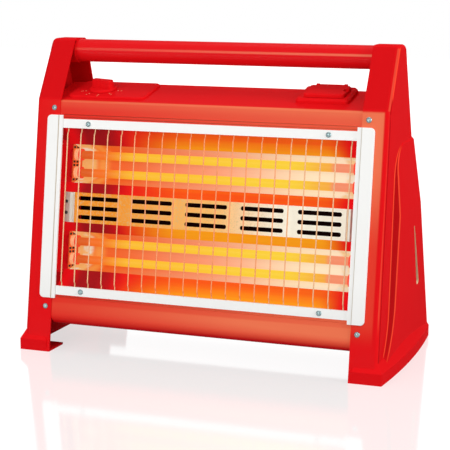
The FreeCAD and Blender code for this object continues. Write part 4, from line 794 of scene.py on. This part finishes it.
# surfaces
def grid_faces(rows, columns, wrap):
    """Quads of a rows x columns grid; wrap joins the last column to the first."""
    step = columns if wrap else columns - 1
    i, j = np.meshgrid(np.arange(rows - 1), np.arange(step), indexing="ij")
    k = (j + 1) % columns
    quads = np.stack([i * columns + j, i * columns + k, (i + 1) * columns + k, (i + 1) * columns + j], -1)
    return quads.reshape(-1, 4)


def dressed(name, mesh, material):
    """Piece with a finish that rides on the heater body and stands for a material slot."""
    mesh.materials.clear()
    mesh.materials.append(material)
    piece = bpy.data.objects.new(name, mesh)
    bpy.context.scene.collection.objects.link(piece)
    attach(piece, "heater")
    return piece


def surface(name, patches, material, smooth=True):
    """One piece from (points, quads) patches that are already in their place on the heater."""
    points, quads, count = [], [], 0
    for vertices, faces in patches:
        points.append(vertices)
        quads.append(faces + count)
        count += len(vertices)
    mesh = bpy.data.meshes.new(name)
    mesh.from_pydata(np.concatenate(points).tolist(), [], np.concatenate(quads).tolist())
    mesh.update()
    mesh.validate()
    mesh.polygons.foreach_set("use_smooth", np.full(len(mesh.polygons), smooth))
    return dressed(name, mesh, material)


def moved(points, matrix):
    """Points carried by a 4x4."""
    matrix = np.array(matrix)
    return points @ matrix[:3, :3].T + matrix[:3, 3]


def around(radius, turn):
    """Point at a radius and an angle round the local Z axis."""
    return radius * math.cos(turn), radius * math.sin(turn), 0.0


def disc(radius, spokes):
    """Flat round patch: rings of radius 0 and r, each a full turn of points, joined by quads."""
    angle = np.linspace(0.0, 2 * np.pi, spokes, endpoint=False)
    r, a = np.meshgrid(np.array([0.0, radius]), angle, indexing="ij")
    points = np.stack([r * np.cos(a), r * np.sin(a), np.zeros_like(r)], -1).reshape(-1, 3)
    return points, grid_faces(2, spokes, True)[:, ::-1]


def tile(depth, height, facing):
    """Flat rectangle square to X, from -1/2 to 1/2 of its depth and height; facing is the sign of X."""
    ends = np.array([-0.5, 0.5])
    y, z = np.meshgrid(depth * ends, height * ends, indexing="ij")
    points = np.stack([np.zeros_like(y), y, z], -1).reshape(-1, 3)
    quads = grid_faces(2, 2, False)
    return points, quads if facing < 0 else quads[:, ::-1]


def figure(name, text, height, place, material):
    """One flat printed figure, centred on its place, made a mesh before it is put there."""
    height_of_size = 0.7
    curve = bpy.data.curves.new(name, "FONT")
    curve.body = text
    curve.size = height / height_of_size
    curve.align_x = "CENTER"
    curve.align_y = "CENTER"
    curve.resolution_u = 6
    draft = bpy.data.objects.new(name + "_draft", curve)
    mesh = bpy.data.meshes.new_from_object(draft)
    bpy.data.objects.remove(draft)
    bpy.data.curves.remove(curve)
    mesh.transform(place)
    dressed(name, mesh, material)


def pan_head(settings, turn):
    """Domed head with a cross recess, as a top and a side wall.

    With r from 0 in the middle to 1 at the rim, the top is height*(rim + (1 - rim)*(1 - r^2.6)). Two bars
    at right angles, turned by an angle, sink it by the recess depth and end before the rim. The wall goes
    straight down from the rim to just under the seat.
    """
    rim = 0.35
    bar_half, bar_slope = 0.17, 0.05
    bar_reach, bar_end = 0.66, 0.08
    under_seat = -0.0003
    radius = settings.head / 2
    angle = np.linspace(0.0, 2 * np.pi, settings.spokes, endpoint=False)
    r, a = np.meshgrid(np.linspace(0.0, 1.0, settings.rings), angle, indexing="ij")
    x, y = r * np.cos(a - turn), r * np.sin(a - turn)
    bars = np.clip((bar_half - np.minimum(np.abs(x), np.abs(y))) / bar_slope, 0, 1)
    sink = bars * np.clip((bar_reach - r) / bar_end, 0, 1)
    z = settings.height * (rim + (1 - rim) * (1 - r**2.6)) - settings.recess * sink
    top = np.stack([radius * r * np.cos(a), radius * r * np.sin(a), z], -1).reshape(-1, 3)
    z, a = np.meshgrid(np.array([settings.height * rim, under_seat]), angle, indexing="ij")
    wall = np.stack([radius * np.cos(a), radius * np.sin(a), z], -1).reshape(-1, 3)
    # rings run outwards and then down, so the order of a quad is reversed to face out of the head
    return [
        (top, grid_faces(settings.rings, settings.spokes, True)[:, ::-1]),
        (wall, grid_faces(2, settings.spokes, True)[:, ::-1]),
    ]


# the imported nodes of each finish
FINISH_OF = {
    "moulding": ("right_side_panel", "left_side_panel"),
    "fitting": ("control_plate", "selector_knob", "humidifier_frame", "humidifier_lid"),
    "enamel": ("upper_shell", "lower_shell", "rear_cover"),
    "bar": ("handle_bar",),
    "lining": ("upper_baffle", "lower_baffle", "centre_channel"),
    "end_wall": ("right_end_plate", "left_end_plate"),
    "bracket": ("right_tube_brackets", "left_tube_brackets"),
    "trim": ("right_trim_strip", "left_trim_strip", "top_trim_rail", "bottom_trim_rail"),
    "wire": ("guard_wires",),
    "zinc": ("panel_screws", "rail_screws", "rear_screws"),
    "black": ("clip_screws", "rotary_switch", "tilt_switch", "thermal_cutout", "cord_gland"),
    "reflector": ("upper_reflector", "lower_reflector"),
    "vent": ("vent_plate",),
    "clip": ("vent_end_clips",),
    "ceramic": ("right_end_caps", "left_end_caps"),
    "quartz": tuple("quartz_tube_%d" % n for n in (1, 2, 3, 4)),
    "hot": tuple("filament_%d" % n for n in (1, 2, 3, 4)),
    "shaft": ("switch_shaft",),
    "pale": ("water_cup", "terminal_block"),
}


class HEATER_OT_finishes(bpy.types.Operator):
    """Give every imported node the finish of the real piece"""

    bl_idname = "heater.finishes"
    bl_label = "Finishes"

    def execute(self, context):
        colours = context.scene.heater_finishes
        made = {
            "moulding": red_moulding("red_moulding", colours),
            "fitting": red_fitting("red_fitting", colours.red),
            "enamel": red_enamel("red_enamel", colours),
            "bar": bar_enamel("bar_enamel", colours),
            "lining": glowing_enamel("glowing_enamel", colours),
            "end_wall": lit_wall("end_wall_enamel", colours.red),
            "bracket": lit_wall("bracket_enamel", BRACKET_GLOW_ORANGE),
            "trim": satin_white("white_trim", colours.white),
            "wire": guard_wire("guard_wire"),
            "zinc": plated("zinc_plate", ZINC),
            "black": grained_plastic("black_moulding", BLACK),
            "reflector": lit_reflector("lit_reflector", colours),
            "vent": vent_sheet("vent_sheet"),
            "clip": brushed("silver_clip", SILVER, stretch=(1, 0.04, 0.04), metallic=0.12),
            "ceramic": ceramic("tube_cap_ceramic", colours),
            "quartz": lit_quartz("lit_quartz", colours),
            "hot": hot_wire("hot_filament", colours),
            "shaft": brushed("turned_shaft", STEEL, stretch=(1, 1, 0.05), metallic=1.0),
            "pale": grained_plastic("pale_moulding", PALE),
        }
        for key, names in FINISH_OF.items():
            for name in names:
                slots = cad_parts[name].data.materials
                slots.clear()
                slots.append(made[key])
        return {"FINISHED"}


class HEATER_OT_screws(bpy.types.Operator):
    """Make the cross-recess heads of the panel, rail and rear screws"""

    bl_idname = "heater.screws"
    bl_label = "Screw heads"

    def execute(self, context):
        sizes = context.scene.heater_screws
        metal = bpy.data.materials["zinc_plate"]
        low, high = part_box("rear_screws")
        rear_seat = high[1] - HEAD_HEIGHT
        rear_across = high[0] - HEAD_RADIUS
        rear_heights = (low[2] + HEAD_RADIUS, high[2] - HEAD_RADIUS)
        to_rear = Matrix.Rotation(-math.pi / 2, 4, "X")
        groups = {
            "panel_screws": [
                face_frame(x, 0.0, up)
                for x in (-PANEL_SCREW_ACROSS, PANEL_SCREW_ACROSS)
                for up in PANEL_SCREW_UPS
            ],
            "rail_screws": [
                face_frame(x, FASCIA_RECESS - RAIL_SHEET, up)
                for x in (-RAIL_SCREW_ACROSS, RAIL_SCREW_ACROSS)
                for up in RAIL_SCREW_UPS
            ],
            "rear_screws": [
                Matrix.Translation((x, rear_seat, z)) @ to_rear
                for x in (-rear_across, rear_across)
                for z in rear_heights
            ],
        }
        for node, places in groups.items():
            patches = []
            for number, place in enumerate(places):
                for points, quads in pan_head(sizes, FIRST_TURN + TURN_STEP * number):
                    patches.append((moved(points, place), quads))
            piece = surface(node + "_heads", patches, metal)
            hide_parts(node)
        return {"FINISHED"}


class HEATER_OT_dial(bpy.types.Operator):
    """Print the dots and figures round the selector knob"""

    bl_idname = "heater.dial"
    bl_label = "Dial marks"

    def execute(self, context):
        sizes = context.scene.heater_dial
        ink = printed("dial_ink", sizes.colour)
        turns = [sizes.first + number * sizes.step for number in range(DIAL_MARKS)]
        points, quads = disc(sizes.dot / 2, DOT_SPOKES)
        patches = [(moved(points + around(sizes.radius, turn), DIAL_FRAME), quads) for turn in turns]
        surface("dial_dots", patches, ink, smooth=False)
        for number, turn in enumerate(turns):
            place = DIAL_FRAME @ Matrix.Translation(around(sizes.figure_radius, turn))
            figure("dial_figure_%d" % number, str(number), sizes.figure, place, ink)
        return {"FINISHED"}


class HEATER_OT_cap_slots(bpy.types.Operator):
    """Put black tiles of painted shade for the lance slots above and below each tube on the brackets"""

    bl_idname = "heater.cap_slots"
    bl_label = "Bracket slots"

    def execute(self, context):
        black = bpy.data.materials["black_moulding"]
        for side, hand in (("left", -1.0), ("right", 1.0)):
            low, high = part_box(side + "_tube_brackets")
            plane = low[0] if hand > 0 else high[0]
            # black tiles of painted shade stand for the slot openings
            points, quads = tile(SLOT_DEEP, SLOT_HIGH, -hand)
            patches = []
            for up in TUBE_UPS:
                for rise in SLOT_RISES:
                    for into in SLOT_DEPTHS:
                        place = bay_frame(plane - hand * SLOT_STAND_OFF, into, up + rise)
                        patches.append((moved(points, place), quads))
            surface(side + "_bracket_slots", patches, black, smooth=False)
        return {"FINISHED"}


# the studio: half side of the floor, its greys and the light it shows, the world and its share of light
# on the heater, and the camera's sensor in millimetres and farthest view
FLOOR_HALF = 6.0
FLOOR_GREYS = ((0.23, 0.23, 0.23), (0.25, 0.25, 0.25))
FLOOR_LIGHT = (0.66, 0.66, 0.66)
WORLD_WHITE = (1.0, 1.0, 1.0)
WORLD_FILL = 0.50
SENSOR_WIDTH = 36.0
FARTHEST_VIEW = 40.0

# the soft boxes: place, aim, width, height, watts, and whether gloss mirrors them
MIDDLE = (0.0, 0.0, 0.22)
UNDER_BAR = (0.0, -0.02, 0.42)
SOFT_BOXES = {
    "front_box": ((-0.5, -2.2, 1.1), MIDDLE, 1.6, 1.2, 25.0, True),
    "top_box": ((0.1, 0.2, 2.0), MIDDLE, 1.8, 1.2, 7.8, True),
    "rear_box": ((-0.7, 2.3, 1.0), MIDDLE, 1.5, 1.0, 12.0, False),
    "low_strip": ((-0.25, -1.25, 0.04), UNDER_BAR, 1.3, 0.05, 1.2, True),
    "right_box": ((2.1, -0.4, 0.9), MIDDLE, 1.0, 1.4, 23.0, True),
}


def stood(scene, name, data, place, aim):
    """Lamp or camera at a place, looking at its aim."""
    holder = bpy.data.objects.new(name, data)
    scene.collection.objects.link(holder)
    look = (Vector(aim) - Vector(place)).to_track_quat("-Z", "Y")
    holder.matrix_world = Matrix.Translation(place) @ look.to_matrix().to_4x4()
    return holder


class HEATER_OT_stage(bpy.types.Operator):
    """Set the pale floor, the soft lights and the camera of the photograph"""

    bl_idname = "heater.stage"
    bl_label = "Stage"

    def execute(self, context):
        scene = context.scene
        scene.view_settings.view_transform = "Standard"

        floor = Finish("pale_floor", Roughness=0.09, Specular_IOR_Level=0.65, Emission_Strength=1.0)
        floor.feed(
            Base_Color=floor.blend(floor.noise(2.0), *FLOOR_GREYS),
            Emission_Color=floor.blend(floor.seen(), NO_LIGHT, FLOOR_LIGHT),
        )
        corners = [(-1, -1), (1, -1), (1, 1), (-1, 1)]
        mesh = bpy.data.meshes.new("studio_floor")
        mesh.from_pydata([(FLOOR_HALF * x, FLOOR_HALF * y, 0) for x, y in corners], [], [(0, 1, 2, 3)])
        mesh.materials.append(floor.material)
        ground = bpy.data.objects.new("studio_floor", mesh)
        scene.collection.objects.link(ground)

        world = bpy.data.worlds.new("studio_white")
        world.use_nodes = True
        backdrop = Nodes(world.node_tree, "Background", Color=WORLD_WHITE)
        backdrop.feed(Strength=WORLD_FILL + (1 - WORLD_FILL) * backdrop.seen().under(1.0))
        scene.world = world

        for name, (place, aim, width, height, power, mirrored) in SOFT_BOXES.items():
            lamp = bpy.data.lights.new(name, "AREA")
            lamp.shape = "RECTANGLE"
            lamp.size = width
            lamp.size_y = height
            lamp.energy = power
            stood(scene, name, lamp, place, aim).visible_glossy = mirrored

        view = scene.heater_camera
        camera = bpy.data.cameras.new("photo_camera")
        camera.sensor_width = SENSOR_WIDTH
        camera.lens = view.lens
        camera.clip_end = FARTHEST_VIEW
        scene.camera = stood(scene, "photo_camera", camera, view.eye, view.aim)
        return {"FINISHED"}


class HEATER_PT_panel(bpy.types.Panel):
    """Sizes, colours and steps of the heater's dressing"""

    bl_label = "Quartz heater"
    bl_idname = "HEATER_PT_panel"
    bl_space_type = "VIEW_3D"
    bl_region_type = "UI"
    bl_category = "Heater"

    def draw(self, context):
        for group in GROUPS:
            settings = getattr(context.scene, group)
            for name in settings.bl_rna.properties.keys():
                if name not in {"rna_type", "name"}:
                    self.layout.prop(settings, name)
        for step in STEPS:
            self.layout.operator(step.bl_idname)


GROUPS = {
    "heater_finishes": HeaterFinishes,
    "heater_screws": HeaterScrews,
    "heater_dial": HeaterDial,
    "heater_camera": HeaterCamera,
}
STEPS = (
    HEATER_OT_finishes, HEATER_OT_screws, HEATER_OT_dial, HEATER_OT_cap_slots, HEATER_OT_stage
)
CLASSES = (*GROUPS.values(), *STEPS, HEATER_PT_panel)


def register():
    for item in CLASSES:
        bpy.utils.register_class(item)
    for name, group in GROUPS.items():
        setattr(bpy.types.Scene, name, PointerProperty(type=group))


def unregister():
    for name in GROUPS:
        delattr(bpy.types.Scene, name)
    for item in reversed(CLASSES):
        bpy.utils.unregister_class(item)


def main():
    register()
    bpy.ops.heater.finishes()
    bpy.ops.heater.screws()
    bpy.ops.heater.dial()
    bpy.ops.heater.cap_slots()
    bpy.ops.heater.stage()


if __name__ == "__main__":
    main()
